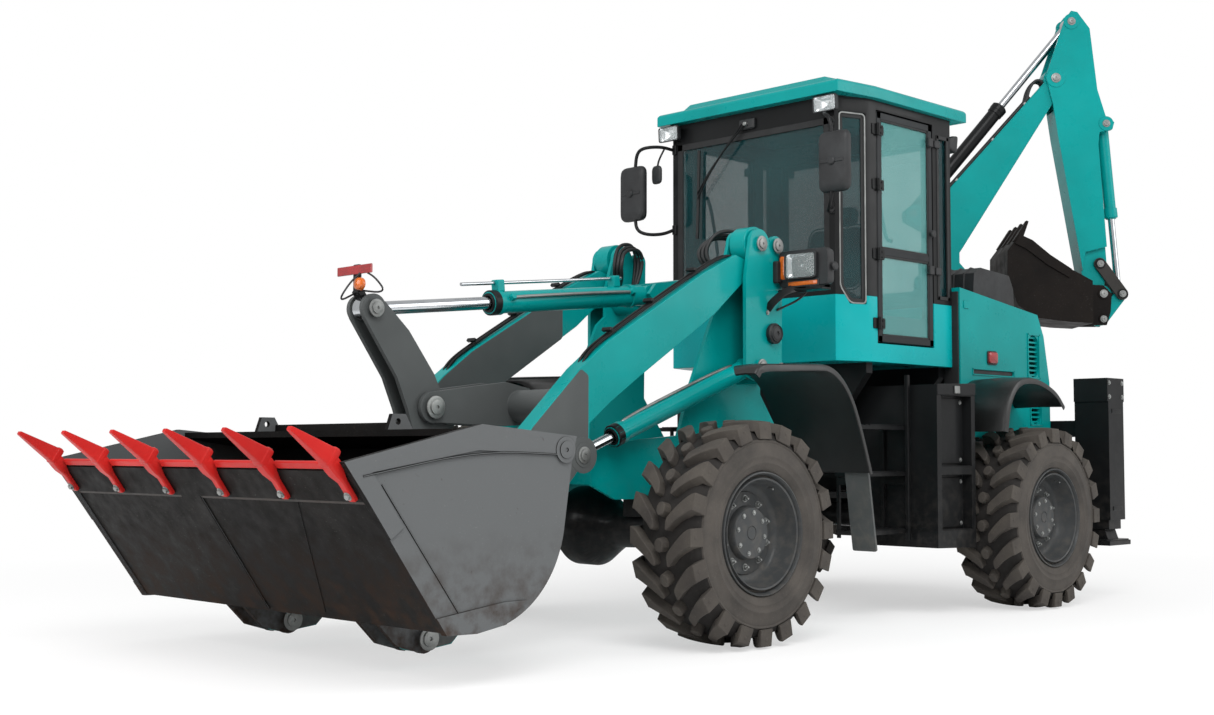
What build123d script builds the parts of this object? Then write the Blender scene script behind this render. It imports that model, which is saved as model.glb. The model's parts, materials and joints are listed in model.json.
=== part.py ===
"""Articulated backhoe loader: loader bucket in front, side-shift backhoe behind.

Millimetres, +Z up, +X forward, +Y to the machine's left.  The origin is on the
ground under the middle of the whole machine.  Lengths along X in the tables below
are counted from the articulation pivot, which stands at X = PIVOT_X.
"""
import os
from math import atan2, cos, degrees, hypot, pi, radians, sin, sqrt

from build123d import *

os.makedirs("parts", exist_ok=True)

# ---------------------------------------------------------------- driving dimensions
PIVOT_X = -122.12             # articulation hinge, from the middle of the whole length
CLEAR = 6.0                   # room between pieces that move past each other

WHEELBASE = 2730.0
TYRE_R = 540.0
TYRE_IN = 786.0               # inner and outer sidewalls of a tyre
TYRE_OUT = 1187.0
TYRE_MIDDLE = (TYRE_IN + TYRE_OUT) / 2
BEAD_R = 264.0
BEAD_DEPTH = 45.0             # from the sidewall in to the rim's seat
RIM_FLANGE_R = 297.0
CASING_SIDES = 24
CASING = (                    # band's start and end from the tyre's middle plane, its radius at each
    (0.0, 148.0, 496.0, 496.0),
    (148.0, 200.5, 496.0, 392.0),
)
LUGS = 20                     # on each half of the tread
LUG_PLAN = (                  # distance from the tyre's middle plane, distance round the tread
    (38.0, -93.0), (38.0, -50.0), (190.0, 93.0), (190.0, 9.0),
)
LUG_REACH = 93.0
LUG_ROOT = 446.0
LUG_TOP = sqrt(TYRE_R ** 2 - LUG_REACH ** 2)       # flat tops whose corners just reach the tyre's radius
LUG_START = -pi / 2 - atan2(LUG_REACH, LUG_TOP)    # stands the shoulder edge of a lug on the ground
AXLE_Z = TYRE_R
FRONT_AXLE_X = WHEELBASE / 2
REAR_AXLE_X = -WHEELBASE / 2
WHEELS = (                    # name, x, side
    ("front_left", FRONT_AXLE_X, 1),
    ("front_right", FRONT_AXLE_X, -1),
    ("rear_left", REAR_AXLE_X, 1),
    ("rear_right", REAR_AXLE_X, -1),
)
SIDES = (("left", 1), ("right", -1))

RAIL_Y = 390.0                # inner face of each rear rail
HINGE_EAR_T = 36.0
HINGE_PIN_R = 40.0
FRONT_EAR_Z = (965.0, 700.0)
REAR_EAR_Z = (FRONT_EAR_Z[0] + HINGE_EAR_T + CLEAR, FRONT_EAR_Z[1] - HINGE_EAR_T - CLEAR)
STEER_Z = 830.0
STEER_GAP = 32.0              # from a steering rod's middle to the shelves above and below it
SHELF_T = 20.0
STEER_BASE = (-430.0, 300.0)  # (x, y) of the left barrel's eye
STEER_EYE = (310.0, 330.0)

# front frame and loader linkage, (x, z) in the machine's long plane
ARM_PIVOT = (699.0, 2037.0)
LIFT_BASE = (699.0, 1381.0)
LIFT_EYE = (1968.0, 909.0)
BUCKET_HINGE = (2935.0, 133.0)
CRANK_PIVOT = (2500.0, 1133.0)
CRANK_TOP = (2825.0, 1583.0)
CRANK_LOW = (2430.0, 800.0)
LINK_EAR = (2580.0, 650.0)
TILT_BASE = (960.0, 1784.0)
ARM_Y = 514.0                 # middle of each loader arm
ARM_T = 96.0
STOP_PIN = (563.0, 2037.0)    # second bolt of a tower's top, behind the arm's pivot
TOWER_LOBE_R = 80.0
STOP_LOBE_R = 55.0
TOWER_OUT = 600.0
TOWER_IN = 450.0
PLATE_T = 22.0

# loader bucket
BUCKET_W = 2358.0
BUCKET_SIDE_T = 26.0
BUCKET_SHELL_T = 28.0
SIDE_STRIP_T = 7.0
TOP_EAR = (3030.0, 1052.0)    # hole of the open ears on the bucket's top edge
TOP_EAR_R = 14.0
TOP_EAR_Y = 522.0
TOP_EAR_T = 24.0
TOOTH_Y = (-1112.0, -667.0, -222.0, 222.0, 667.0, 1112.0)

# cab
CAB_FRONT_X = 60.0
CAB_CORNER_X = -170.0
CAB_REAR_X = -1000.0
CAB_HALF = 700.0
CAB_FRONT_HALF = 620.0
CAB_BOTTOM = 1440.0
CAB_SILL = 1815.0
CAB_TOP = 2950.0
CAB_WALL = 45.0
DOOR_FRONT_X = -232.0
DOOR_REAR_X = -808.0
DOOR_KNUCKLES = (1620.0, 2010.0, 2400.0, 2760.0)   # undersides of the hinge knuckles
KNUCKLE_R = 12.0
KNUCKLE_H = 70.0
DOOR_BOTTOM = 1548.0
DOOR_TOP = 2896.0

# rear frame and backhoe
SHIFT_FRAME_X = (-2330.0, -2150.0)
SWING_X = -2600.0
SWING_Y = -570.0
SWING_REST = 45.0             # degrees to the left of straight back
BOOM_FOOT = (200.0, 1000.0)   # (reach from the swing pin, height)
DIPPER_PIVOT = (983.0, 3693.0)
DIPPER_TOP = (1105.0, 4118.0)
HOE_PIVOT = (1310.0, 2093.0)
GUIDE_PIVOT = (1290.0, 2314.0)
GUIDE_END = (1449.0, 2092.0)
HOE_LINK_EAR = (1306.0, 1906.0)
BOOM_CYL_BASE = (430.0, 700.0)
BOOM_CYL_EYE = (400.0, 2120.0)
CROWD_BASE = (-75.0, 2684.0)
BUCKET_CYL_BASE = (1349.0, 3353.0)
HOE_W = 520.0


# ---------------------------------------------------------------- planes and small shapes
def side_plane(y):
    """Long plane at the given Y: local x runs forward from the pivot, local y is up."""
    return Plane(origin=(PIVOT_X, y, 0), x_dir=(1, 0, 0), z_dir=(0, -1, 0))


def flat_plane(z):
    """Level plane at height z, its x counted from the pivot."""
    return Plane(origin=(PIVOT_X, 0, z))


def cross_plane(x):
    """Upright plane across the machine: local x is the machine's left, local y is up."""
    return Plane(origin=(PIVOT_X + x, 0, 0), x_dir=(0, 1, 0), z_dir=(1, 0, 0))


def hoe_plane(offset=0.0):
    """Plane of the swung backhoe: local x is reach from the swing pin, local y is up."""
    a = radians(SWING_REST)
    out = Vector(-cos(a), sin(a), 0)
    normal = out.cross(Vector(0, 0, 1))
    origin = Vector(PIVOT_X + SWING_X, SWING_Y, 0) + normal * offset
    return Plane(origin=origin, x_dir=out, z_dir=normal)


def sloping_plane(base, start, end, x_dir):
    """Plane at start, square to the line from start to end, both given in plane base."""
    a = base.from_local_coords(Vector(start[0], start[1], 0))
    b = base.from_local_coords(Vector(end[0], end[1], 0))
    return Plane(origin=a, x_dir=x_dir, z_dir=b - a)


def span(start, end):
    return hypot(end[0] - start[0], end[1] - start[1])


def save(part, name):
    part.label = name
    export_step(part, f"parts/{name}.step")


# ---------------------------------------------------------------- wheels
def wheel_plane(x, y):
    """Upright plane through a wheel's axis: local x is radius, local y is outward."""
    side = 1 if y > 0 else -1
    return Plane(origin=(PIVOT_X + x, 0, AXLE_Z), x_dir=(1, 0, 0), z_dir=(0, 0, side))


with BuildPart() as tyre:
    for outward in (1, -1):
        for start, end, start_r, end_r in CASING:
            with BuildSketch(Plane(origin=(0, outward * start, 0), x_dir=(1, 0, 0), z_dir=(0, outward, 0))):
                RegularPolygon(start_r, CASING_SIDES, major_radius=False)
            extrude(amount=end - start, taper=degrees(atan2(start_r - end_r, end - start)))
        turns = [LUG_START + lug * 2 * pi / LUGS for lug in range(LUGS)]
        faces = [Plane(origin=(LUG_ROOT * cos(turn), 0, LUG_ROOT * sin(turn)), x_dir=(0, outward, 0),
                       z_dir=(cos(turn), 0, sin(turn))) for turn in turns]
        with BuildSketch(*faces):
            with BuildLine():
                Polyline(*[(across, outward * around) for across, around in LUG_PLAN], close=True)
            make_face()
        extrude(amount=LUG_TOP - LUG_ROOT)
    for outward in (1, -1):
        with BuildSketch(Plane(origin=(0, outward * CASING[-1][1], 0), x_dir=(1, 0, 0), z_dir=(0, -outward,
                                                                                               0))):
            RegularPolygon(CASING[-1][3], CASING_SIDES, major_radius=False)
        extrude(amount=BEAD_DEPTH, taper=degrees(atan2(CASING[-1][3] - BEAD_R, BEAD_DEPTH)),
                mode=Mode.SUBTRACT)
    with BuildSketch(Plane.XZ):
        RegularPolygon(BEAD_R, CASING_SIDES, major_radius=False)
    extrude(amount=TYRE_OUT - TYRE_IN, both=True, mode=Mode.SUBTRACT)

for wheel, wheel_x, side in WHEELS:
    save(tyre.part.moved(Location((PIVOT_X + wheel_x, side * TYRE_MIDDLE, AXLE_Z))), f"tyre_{wheel}")

    with BuildPart() as rim:
        with BuildSketch(wheel_plane(wheel_x, side)):
            with BuildLine():
                Polyline((0, 1010), (250, 1010), (238, 880), (238, TYRE_IN + 30),
                         (RIM_FLANGE_R - 12, TYRE_IN + 5), (RIM_FLANGE_R - 4, TYRE_IN + 12),
                         (BEAD_R, TYRE_IN + 45), (BEAD_R, TYRE_OUT - 45),
                         (RIM_FLANGE_R - 4, TYRE_OUT - 16), (RIM_FLANGE_R - 12, TYRE_OUT - 8),
                         (250, TYRE_OUT - 40), (243, 1106), (238, 1056), (222, 1042), (200, 1038),
                         (180, 1048), (130, 1048), (126, 1082), (119, 1089), (0, 1091), (0, 1010))
            make_face()
        revolve(axis=Axis((PIVOT_X + wheel_x, 0, AXLE_Z), (0, 1, 0)))
    save(rim.part, f"rim_{wheel}")


# ---------------------------------------------------------------- axles
AXLE_PROFILE = (              # distance from the middle, housing radius
    (0, 205), (60, 205), (150, 150), (230, 105), (560, 95), (700, 110), (760, 150), (1000, 150), (1000, 0),
)
for axle_name, axle_x in (("front_axle", FRONT_AXLE_X), ("rear_axle", REAR_AXLE_X)):
    with BuildPart() as axle:
        with BuildSketch(wheel_plane(axle_x, 1)):
            with BuildLine():
                Polyline((0, 0), *[(r, y) for y, r in AXLE_PROFILE], (0, 0))
            make_face()
        revolve(axis=Axis((PIVOT_X + axle_x, 0, AXLE_Z), (0, 1, 0)))
        mirror(about=Plane.XZ)
        input_side = -1 if axle_x > 0 else 1
        with BuildSketch(cross_plane(axle_x)):
            with Locations((0, AXLE_Z)):
                Circle(88)
        extrude(amount=input_side * 330)
        with BuildSketch(flat_plane(AXLE_Z + 60)):
            with Locations((axle_x, 395), (axle_x, -395)):
                Rectangle(210, 120)
        extrude(amount=90)
    save(axle.part, axle_name)


# ---------------------------------------------------------------- front frame
FRAME_PAD_Z = AXLE_Z + 150    # top of the axle's pads
with BuildPart() as front_frame:
    # inner plates: each is a side of the frame and the inner plate of a tower
    with BuildSketch(side_plane(-TOWER_IN + PLATE_T)):
        with BuildLine():
            Polyline((330, 700), (330, 990), (520, 1240), (508, 2040), (640, 2030), (779, 2037),
                     (840, 1850), (840, 1700), (905, 1648), (1088, 1265), (1180, 1010), (1790, 960),
                     (1830, 900), (1800, 760), (1640, FRAME_PAD_Z), (470, FRAME_PAD_Z), (330, 700))
        make_face()
        with Locations(ARM_PIVOT):
            Circle(TOWER_LOBE_R)
        with Locations(STOP_PIN):
            Circle(STOP_LOBE_R)
    extrude(amount=PLATE_T)
    # outer tower plates
    with BuildSketch(side_plane(-TOWER_OUT + PLATE_T)):
        with BuildLine():
            Polyline((520, 1330), (508, 2040), (640, 2030), (779, 2037), (815, 1850), (815, 1330),
                     (700, 1290), (520, 1330))
        make_face()
        with Locations(ARM_PIVOT):
            Circle(TOWER_LOBE_R)
        with Locations(STOP_PIN):
            Circle(STOP_LOBE_R)
    extrude(amount=PLATE_T)
    # webs that tie the two plates of a tower behind and below the arm
    with BuildSketch(cross_plane(536)):
        with Locations((-520, 1710)):
            Rectangle(160, 740)
    extrude(amount=24)
    with BuildSketch(flat_plane(1288)):
        with Locations((630, -520)):
            Rectangle(180, 160)
    extrude(amount=24)
    # pin heads on the outer plates
    with BuildSketch(side_plane(-TOWER_OUT)):
        with Locations(ARM_PIVOT, LIFT_BASE):
            Circle(38)
        with Locations(STOP_PIN):
            Circle(26)
    extrude(amount=16)
    mirror(about=Plane.XZ)
    # deck, nose plate, rear plate and the tube that carries the tilt cylinder
    with BuildSketch(flat_plane(930)):
        with Locations((1080, 0)):
            Rectangle(1420, 860)
    extrude(amount=24)
    with BuildSketch(cross_plane(1780)):
        with Locations((0, 850)):
            Rectangle(860, 170)
    extrude(amount=24)
    with BuildSketch(side_plane(430)):
        with Locations((720, 1800)):
            Circle(85)
    extrude(amount=860)
    with BuildSketch(cross_plane(340)):
        with Locations((0, 845)):
            Rectangle(860, 290)
        with Locations((330, STEER_Z), (-330, STEER_Z)):
            Rectangle(150, 2 * STEER_GAP, mode=Mode.SUBTRACT)
    extrude(amount=26)
    # upper and lower ears of the articulation
    for ear_z in FRONT_EAR_Z:
        with BuildSketch(flat_plane(ear_z)):
            with BuildLine():
                Polyline((360, 300), (60, 90), (60, -90), (360, -300), (360, 300))
            make_face()
            Circle(105)
            Circle(HINGE_PIN_R, mode=Mode.SUBTRACT)
        extrude(amount=HINGE_EAR_T)
    # two ears for the tilt cylinder's base
    for ear_y in (86, -62):
        with BuildSketch(side_plane(ear_y)):
            with BuildLine():
                Polyline((720, 1720), (960, 1725), (1015, 1784), (960, 1843), (720, 1884), (720, 1720))
            make_face()
        extrude(amount=24)
    # shelves for the steering cylinders' rod eyes
    for side in (1, -1):
        for shelf_z in (STEER_Z - STEER_GAP - SHELF_T, STEER_Z + STEER_GAP):
            with BuildSketch(flat_plane(shelf_z)):
                with Locations((310, side * 330)):
                    Rectangle(100, 90)
            extrude(amount=SHELF_T)
save(front_frame.part, "front_frame")

with BuildPart() as front_fenders:
    with BuildSketch(side_plane(-602)):
        with BuildLine():
            Polyline((1425, 1300), (1385, 1342), (840, 1368), (730, 1310), (630, 1195), (510, 910),
                     (476, 820), (490, 816), (524, 904), (643, 1188), (738, 1298), (845, 1354),
                     (1380, 1328), (1412, 1294), (1425, 1300))
        make_face()
    extrude(amount=568)
    with BuildSketch(side_plane(-602)):
        with BuildLine():
            Polyline((1385, 1342), (840, 1368), (730, 1310), (630, 1195), (660, 1180), (900, 1290),
                     (1385, 1300), (1385, 1342))
        make_face()
    extrude(amount=12)
    mirror(about=Plane.XZ)
save(front_fenders.part, "front_fenders")

with BuildPart() as headlamps:
    with BuildSketch(cross_plane(455)):
        with Locations((-780, 1912)):
            RectangleRounded(230, 165, 20)
    extrude(amount=110)
    with BuildSketch(cross_plane(480)):
        with Locations((-735, 1800)):
            Rectangle(270, 70)
        with Locations((-760, 1830)):
            Rectangle(60, 30)
    extrude(amount=50)
    mirror(about=Plane.XZ)
save(headlamps.part, "headlamps")

# ---------------------------------------------------------------- rear frame
with BuildPart() as rear_frame:
    with BuildSketch(side_plane(-RAIL_Y)):
        with BuildLine():
            Polyline((-340, FRAME_PAD_Z), (-340, REAR_EAR_Z[0]), (-560, REAR_EAR_Z[0]), (-600, 1000),
                     (SHIFT_FRAME_X[1], 1000), (SHIFT_FRAME_X[1], 560), (-1700, 560), (-1620, FRAME_PAD_Z),
                     (-340, FRAME_PAD_Z))
        make_face()
    extrude(amount=PLATE_T)
    mirror(about=Plane.XZ)
    for plate_x in (-540, -1000, SHIFT_FRAME_X[1]):
        with BuildSketch(cross_plane(plate_x)):
            with Locations((0, 845)):
                Rectangle(2 * RAIL_Y + 40, 290)
        extrude(amount=26)
    for ear_z in REAR_EAR_Z:
        with BuildSketch(flat_plane(ear_z)):
            with BuildLine():
                Polyline((-550, 400), (-350, 400), (-60, 90), (-60, -90), (-350, -400), (-550, -400),
                         (-550, 400))
            make_face()
            Circle(105)
        extrude(amount=HINGE_EAR_T)
    # cab supports
    for post_x in (-200, -940):
        with BuildSketch(cross_plane(post_x)):
            with BuildLine():
                Polyline((-640, CAB_BOTTOM), (640, CAB_BOTTOM), (640, CAB_BOTTOM - 60), (420, 1100),
                         (412, 990), (380, 990), (380, 1080), (-380, 1080), (-380, 990), (-412, 990),
                         (-420, 1100), (-640, CAB_BOTTOM - 60), (-640, CAB_BOTTOM))
            make_face()
        extrude(amount=-60)
    with BuildSketch(flat_plane(980)):
        with Locations((-300, 395), (-300, -395)):
            Rectangle(300, 34)
    extrude(amount=110)
    # ears for the steering cylinders' barrels
    for side in (1, -1):
        for ear_z in (STEER_Z - 52, STEER_Z + 32):
            with BuildSketch(flat_plane(ear_z)):
                with Locations((-415, side * 300)):
                    Rectangle(110, 200)
            extrude(amount=20)
save(rear_frame.part, "rear_frame")

with BuildPart() as engine:
    with BuildSketch(flat_plane(1010)):
        with Locations((-1540, 0)):
            Rectangle(780, 620)
    extrude(amount=680)
save(engine.part, "engine_block")

with BuildPart() as steps:
    for tread_z in (468, 792, 1054):
        with BuildSketch(flat_plane(tread_z)):
            with Locations((-143, 710)):
                Rectangle(438, 180)
        extrude(amount=22)
    for upright_x in (-372, 52):
        with BuildSketch(cross_plane(upright_x)):
            with Locations((632, 765)):
                Rectangle(20, 630)
            with Locations((710, 765)):
                Rectangle(160, 40)
        extrude(amount=14)
    mirror(about=Plane.XZ)

BOX_OUT = 990.0
BOX_RECESS = 60.0
with BuildPart() as side_boxes:
    with BuildSketch(side_plane(-RAIL_Y - PLATE_T)):
        with BuildLine():
            Polyline((-380, 390), (-380, 1310), (-775, 1325), (-775, 380), (-380, 390))
        make_face()
    extrude(amount=BOX_OUT - RAIL_Y - PLATE_T)
    with BuildSketch(side_plane(-BOX_OUT + BOX_RECESS)):
        with Locations((-580, 850)):
            Rectangle(310, 800)
    extrude(amount=BOX_RECESS, mode=Mode.SUBTRACT)
    for tread_z in (440, 800):
        with BuildSketch(flat_plane(tread_z)):
            with Locations((-578, BOX_OUT - BOX_RECESS / 2 - 5)):
                Rectangle(320, BOX_RECESS + 10)
        extrude(amount=46)
    mirror(about=Plane.XZ)
save(steps.part + side_boxes.part, "side_steps")

# ---------------------------------------------------------------- hood and rear fenders
HOOD_TOP = ((-1010, 1925), (-1925, 1815), (-2000, 1680), (-2067, 1383), (-2072, 1020))
HOOD_SHEET = 30
HOOD_HALF = 750.0
HOOD_SLOT = (-1385.0, 1420.0)
GRILLES = (                   # middle along and up, width, height
    (-1868.0, 1545.0, 130.0, 270.0),
    (-1890.0, 1215.0, 130.0, 210.0),
)
GRILLE_TURN = 90.0
LOUVRE_STEP = 30.0
LOUVRE_T = 11.0
LOUVRE_BACK = 12.0            # depth of the louvres behind the sheet's face
with BuildPart() as hood:
    with BuildSketch(side_plane(-HOOD_HALF)):
        with BuildLine():
            Polyline((-1010, 1020), *HOOD_TOP, (-1010, 1020))
        make_face()
    extrude(amount=-2 * HOOD_HALF)
    with BuildSketch(side_plane(-HOOD_HALF + HOOD_SHEET)):
        with BuildLine():
            Polyline((-900, 900), (-900, 1908), (-1905, 1785), (-1972, 1675), (-2037, 1380), (-2042, 900),
                     (-900, 900))
        make_face()
    extrude(amount=-2 * HOOD_HALF + 2 * HOOD_SHEET, mode=Mode.SUBTRACT)
    # louvred side openings, and the long slot ahead of them
    for side in (1, -1):
        face = side_plane(side * HOOD_HALF)
        with BuildSketch(face):
            for x, z, long, high in GRILLES:
                with Locations((x, z)):
                    SlotOverall(high, long, rotation=GRILLE_TURN)
            with Locations(HOOD_SLOT):
                SlotOverall(470, 26)
        extrude(amount=side * HOOD_SHEET, mode=Mode.SUBTRACT)
        with BuildSketch(face.offset(side * LOUVRE_BACK)):
            for x, z, long, high in GRILLES:
                with Locations((x, z)):
                    with GridLocations(0, LOUVRE_STEP, 1, int(high / LOUVRE_STEP)):
                        Rectangle(long + 8, LOUVRE_T)
            with Locations(HOOD_SLOT):
                Rectangle(480, 40)
        extrude(amount=side * (HOOD_SHEET - LOUVRE_BACK))
save(hood.part, "hood")

COVER_W = 450.0
COVER_RIBS = 5
COVER_RIB_T = 12.0
with BuildPart() as air_cover:
    with BuildSketch(side_plane(150)):
        with BuildLine():
            Polyline((-1400, 1878.6), (-1420, 2060), (-1500, 2100), (-1840, 2075), (-1890, 1990),
                     (-1900, 1818.5), (-1400, 1878.6))
        make_face()
    extrude(amount=-COVER_W)
    for rib in range(1, COVER_RIBS + 1):
        with BuildSketch(side_plane(150 + rib * COVER_W / (COVER_RIBS + 1) - COVER_RIB_T / 2)):
            with BuildLine():
                Polyline((-1392, 1884), (-1412, 2066), (-1498, 2108), (-1844, 2083), (-1898, 1992),
                         (-1908, 1822), (-1392, 1884))
            make_face()
        extrude(amount=-COVER_RIB_T)
save(air_cover.part, "air_cleaner_cover")

with BuildPart() as rear_fenders:
    with BuildSketch(side_plane(-750)):
        with BuildLine():
            Polyline((-925, 1050), (-955, 1210), (-1040, 1330), (-1150, 1374), (-1300, 1376), (-1560, 1290),
                     (-1640, 1215), (-1632, 1205), (-1552, 1278), (-1298, 1363), (-1152, 1361),
                     (-1048, 1320), (-968, 1206), (-938, 1048), (-925, 1050))
        make_face()
    extrude(amount=350)
    mirror(about=Plane.XZ)
save(rear_fenders.part, "rear_fenders")

# ---------------------------------------------------------------- cab
CAB_PLAN = ((CAB_FRONT_X, -CAB_FRONT_HALF), (CAB_FRONT_X, CAB_FRONT_HALF), (CAB_CORNER_X, CAB_HALF),
            (CAB_REAR_X, CAB_HALF), (CAB_REAR_X, -CAB_HALF), (CAB_CORNER_X, -CAB_HALF))
CORNER_PANE = ((30, 2860), (30, 1860), (100, 1765), (213, 1765), (213, 2860))

with BuildPart() as door_ways:
    with BuildSketch(side_plane(CAB_HALF + 50)):
        with Locations(((DOOR_FRONT_X + DOOR_REAR_X) / 2, (DOOR_BOTTOM + DOOR_TOP) / 2)):
            Rectangle(DOOR_FRONT_X - DOOR_REAR_X, DOOR_TOP - DOOR_BOTTOM)
    extrude(amount=2 * CAB_HALF + 100)

def corner_plane(side):
    """Plane of a front corner pane: local x runs back from the windscreen, side * local y is up."""
    back = (CAB_CORNER_X - CAB_FRONT_X, side * (CAB_HALF - CAB_FRONT_HALF))
    return Plane(origin=(PIVOT_X + CAB_FRONT_X, side * CAB_FRONT_HALF, 0), x_dir=(*back, 0),
                 z_dir=(side * back[1], -side * back[0], 0))


with BuildPart() as corner_ways:
    for side in (1, -1):
        with BuildSketch(corner_plane(side)):
            with BuildLine():
                Polyline(*[(x, side * z) for x, z in CORNER_PANE], close=True)
            make_face()
        extrude(amount=100, both=True)

with BuildPart() as cab_tub:
    with BuildSketch(flat_plane(CAB_BOTTOM)):
        with BuildLine():
            Polyline(*CAB_PLAN, close=True)
        make_face()
    extrude(amount=CAB_SILL - CAB_BOTTOM)
    with BuildSketch(flat_plane(CAB_BOTTOM + 45)):
        with BuildLine():
            Polyline(*CAB_PLAN, close=True)
        make_face()
        offset(amount=-CAB_WALL, kind=Kind.INTERSECTION, mode=Mode.REPLACE)
    extrude(amount=CAB_SILL, mode=Mode.SUBTRACT)
    add(door_ways.part, mode=Mode.SUBTRACT)
    add(corner_ways.part, mode=Mode.SUBTRACT)
save(cab_tub.part, "cab_tub")

with BuildPart() as cab_frame:
    with BuildSketch(flat_plane(CAB_SILL)):
        with BuildLine():
            Polyline(*CAB_PLAN, close=True)
        make_face()
        offset(amount=-CAB_WALL, kind=Kind.INTERSECTION, mode=Mode.SUBTRACT)
    extrude(amount=CAB_TOP - CAB_SILL)
    add(door_ways.part, mode=Mode.SUBTRACT)
    # windscreen and rear window
    with BuildSketch(cross_plane(CAB_REAR_X - 50)):
        with Locations((0, 2340)):
            Rectangle(1160, 970)
    extrude(amount=-CAB_REAR_X + CAB_FRONT_X + 100, mode=Mode.SUBTRACT)
    # rear quarter windows
    with BuildSketch(side_plane(CAB_HALF + 50)):
        with Locations((-912, 2340)):
            Rectangle(100, 970)
    extrude(amount=2 * CAB_HALF + 100, mode=Mode.SUBTRACT)
    add(corner_ways.part, mode=Mode.SUBTRACT)
save(cab_frame.part, "cab_frame")

ROOF_RIM_H = 75.0
ROOF_RIM_R = 26.0
with BuildPart() as cab_roof:
    with BuildSketch(flat_plane(CAB_TOP)):
        with BuildLine():
            Polyline((125, -695), (125, 695), (-185, 740), (-1125, 740), (-1125, -740), (-185, -740),
                     (125, -695))
        make_face()
    extrude(amount=ROOF_RIM_H)
    fillet(cab_roof.edges().group_by(Axis.Z)[-1], ROOF_RIM_R)
    with BuildSketch(flat_plane(CAB_TOP + ROOF_RIM_H - 2)):
        with BuildLine():
            Polyline((60, -560), (60, 560), (-200, 600), (-1040, 600), (-1040, -600), (-200, -600),
                     (60, -560))
        make_face()
    extrude(amount=57, taper=40)
save(cab_roof.part, "cab_roof")

GLASS = 8
with BuildPart() as cab_glass:
    for glass_x in (CAB_FRONT_X - 20, CAB_REAR_X + 12):
        with BuildSketch(cross_plane(glass_x)):
            with Locations((0, 2340)):
                Rectangle(1160, 970)
        extrude(amount=GLASS)
    for glass_y in (CAB_HALF - 12, -CAB_HALF + 20):
        with BuildSketch(side_plane(glass_y)):
            with Locations((-912, 2340)):
                Rectangle(100, 970)
        extrude(amount=GLASS)
    for side in (1, -1):
        with BuildSketch(corner_plane(side).offset(-20)):
            with BuildLine():
                Polyline(*[(x, side * z) for x, z in CORNER_PANE], close=True)
            make_face()
        extrude(amount=GLASS)
save(cab_glass.part, "cab_glass")

for door_name, side in SIDES:
    outer = side_plane(side * CAB_HALF)
    inward = side * CAB_WALL
    with BuildPart() as door:
        with BuildSketch(outer):
            with Locations(((DOOR_FRONT_X + DOOR_REAR_X) / 2, (DOOR_BOTTOM + DOOR_TOP) / 2)):
                Rectangle(DOOR_FRONT_X - DOOR_REAR_X - 2 * CLEAR, DOOR_TOP - DOOR_BOTTOM - 2 * CLEAR)
            with Locations(((DOOR_FRONT_X + DOOR_REAR_X) / 2, 2390)):
                Rectangle(490, 900, mode=Mode.SUBTRACT)
            with Locations(((DOOR_FRONT_X + DOOR_REAR_X) / 2, 1745)):
                Rectangle(490, 290, mode=Mode.SUBTRACT)
        extrude(amount=inward)
        for knuckle_z in DOOR_KNUCKLES:
            with BuildSketch(flat_plane(knuckle_z)):
                with Locations((DOOR_FRONT_X, side * (CAB_HALF + KNUCKLE_R))):
                    Circle(KNUCKLE_R)
                with Locations((DOOR_FRONT_X - 25, side * (CAB_HALF + 4))):
                    Rectangle(50, 8)
            extrude(amount=KNUCKLE_H)
    save(door.part, f"door_{door_name}")
    with BuildPart() as door_glass:
        with BuildSketch(side_plane(side * (CAB_HALF - 12))):
            with Locations(((DOOR_FRONT_X + DOOR_REAR_X) / 2, 2390)):
                Rectangle(490, 900)
            with Locations(((DOOR_FRONT_X + DOOR_REAR_X) / 2, 1745)):
                Rectangle(490, 290)
        extrude(amount=side * GLASS)
    save(door_glass.part, f"door_glass_{door_name}")

with BuildPart() as seat_base:
    with BuildSketch(flat_plane(CAB_BOTTOM + 45)):
        with Locations((-560, 0)):
            Rectangle(340, 340)
    extrude(amount=330)

with BuildPart() as seat_cushion:
    with BuildSketch(flat_plane(CAB_BOTTOM + 375)):
        with Locations((-540, 0)):
            RectangleRounded(480, 480, 60)
    extrude(amount=110)
    with BuildSketch(side_plane(240)):
        with BuildLine():
            Polyline((-700, 1925), (-790, 1925), (-880, 2440), (-800, 2470), (-700, 1925))
        make_face()
    extrude(amount=480)
save(seat_cushion.part, "seat_cushion")

with BuildPart() as console:
    with BuildSketch(side_plane(150)):
        with BuildLine():
            Polyline((10, CAB_BOTTOM + 45), (-160, CAB_BOTTOM + 45), (-130, 1900), (-60, 1990), (-20, 1980),
                     (10, CAB_BOTTOM + 45))
        make_face()
    extrude(amount=300)
    wheel_base = Plane(origin=(PIVOT_X - 60, 0, 1950), x_dir=(0, 1, 0), z_dir=(-0.6, 0, 0.8))
    with BuildSketch(wheel_base):
        Circle(20)
    extrude(amount=130)
    with BuildSketch(wheel_base.offset(110)):
        Circle(190)
        Circle(168, mode=Mode.SUBTRACT)
        with PolarLocations(0, 3):
            Rectangle(360, 24)
        Circle(190, mode=Mode.INTERSECT)
    extrude(amount=22)
save(seat_base.part + console.part, "cab_fittings")

with BuildPart() as mirrors:
    with BuildSketch(cross_plane(240)):
        with Locations((-770, 2520)):
            RectangleRounded(200, 340, 40)
    extrude(amount=50)
    with BuildSketch(cross_plane(CAB_FRONT_X)):
        with Locations((-600, 2640), (-600, 2380)):
            Rectangle(36, 40)
    extrude(amount=20)
    for arm_z in (2640, 2380):
        arm_plane = Plane(origin=(PIVOT_X + CAB_FRONT_X + 14, -600, arm_z), x_dir=(0, 0, 1), z_dir=(180,
                                                                                                    -110,
                                                                                                    0))
        with BuildSketch(arm_plane):
            Circle(11)
        extrude(amount=210)
    mirror(about=Plane.XZ)

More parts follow.
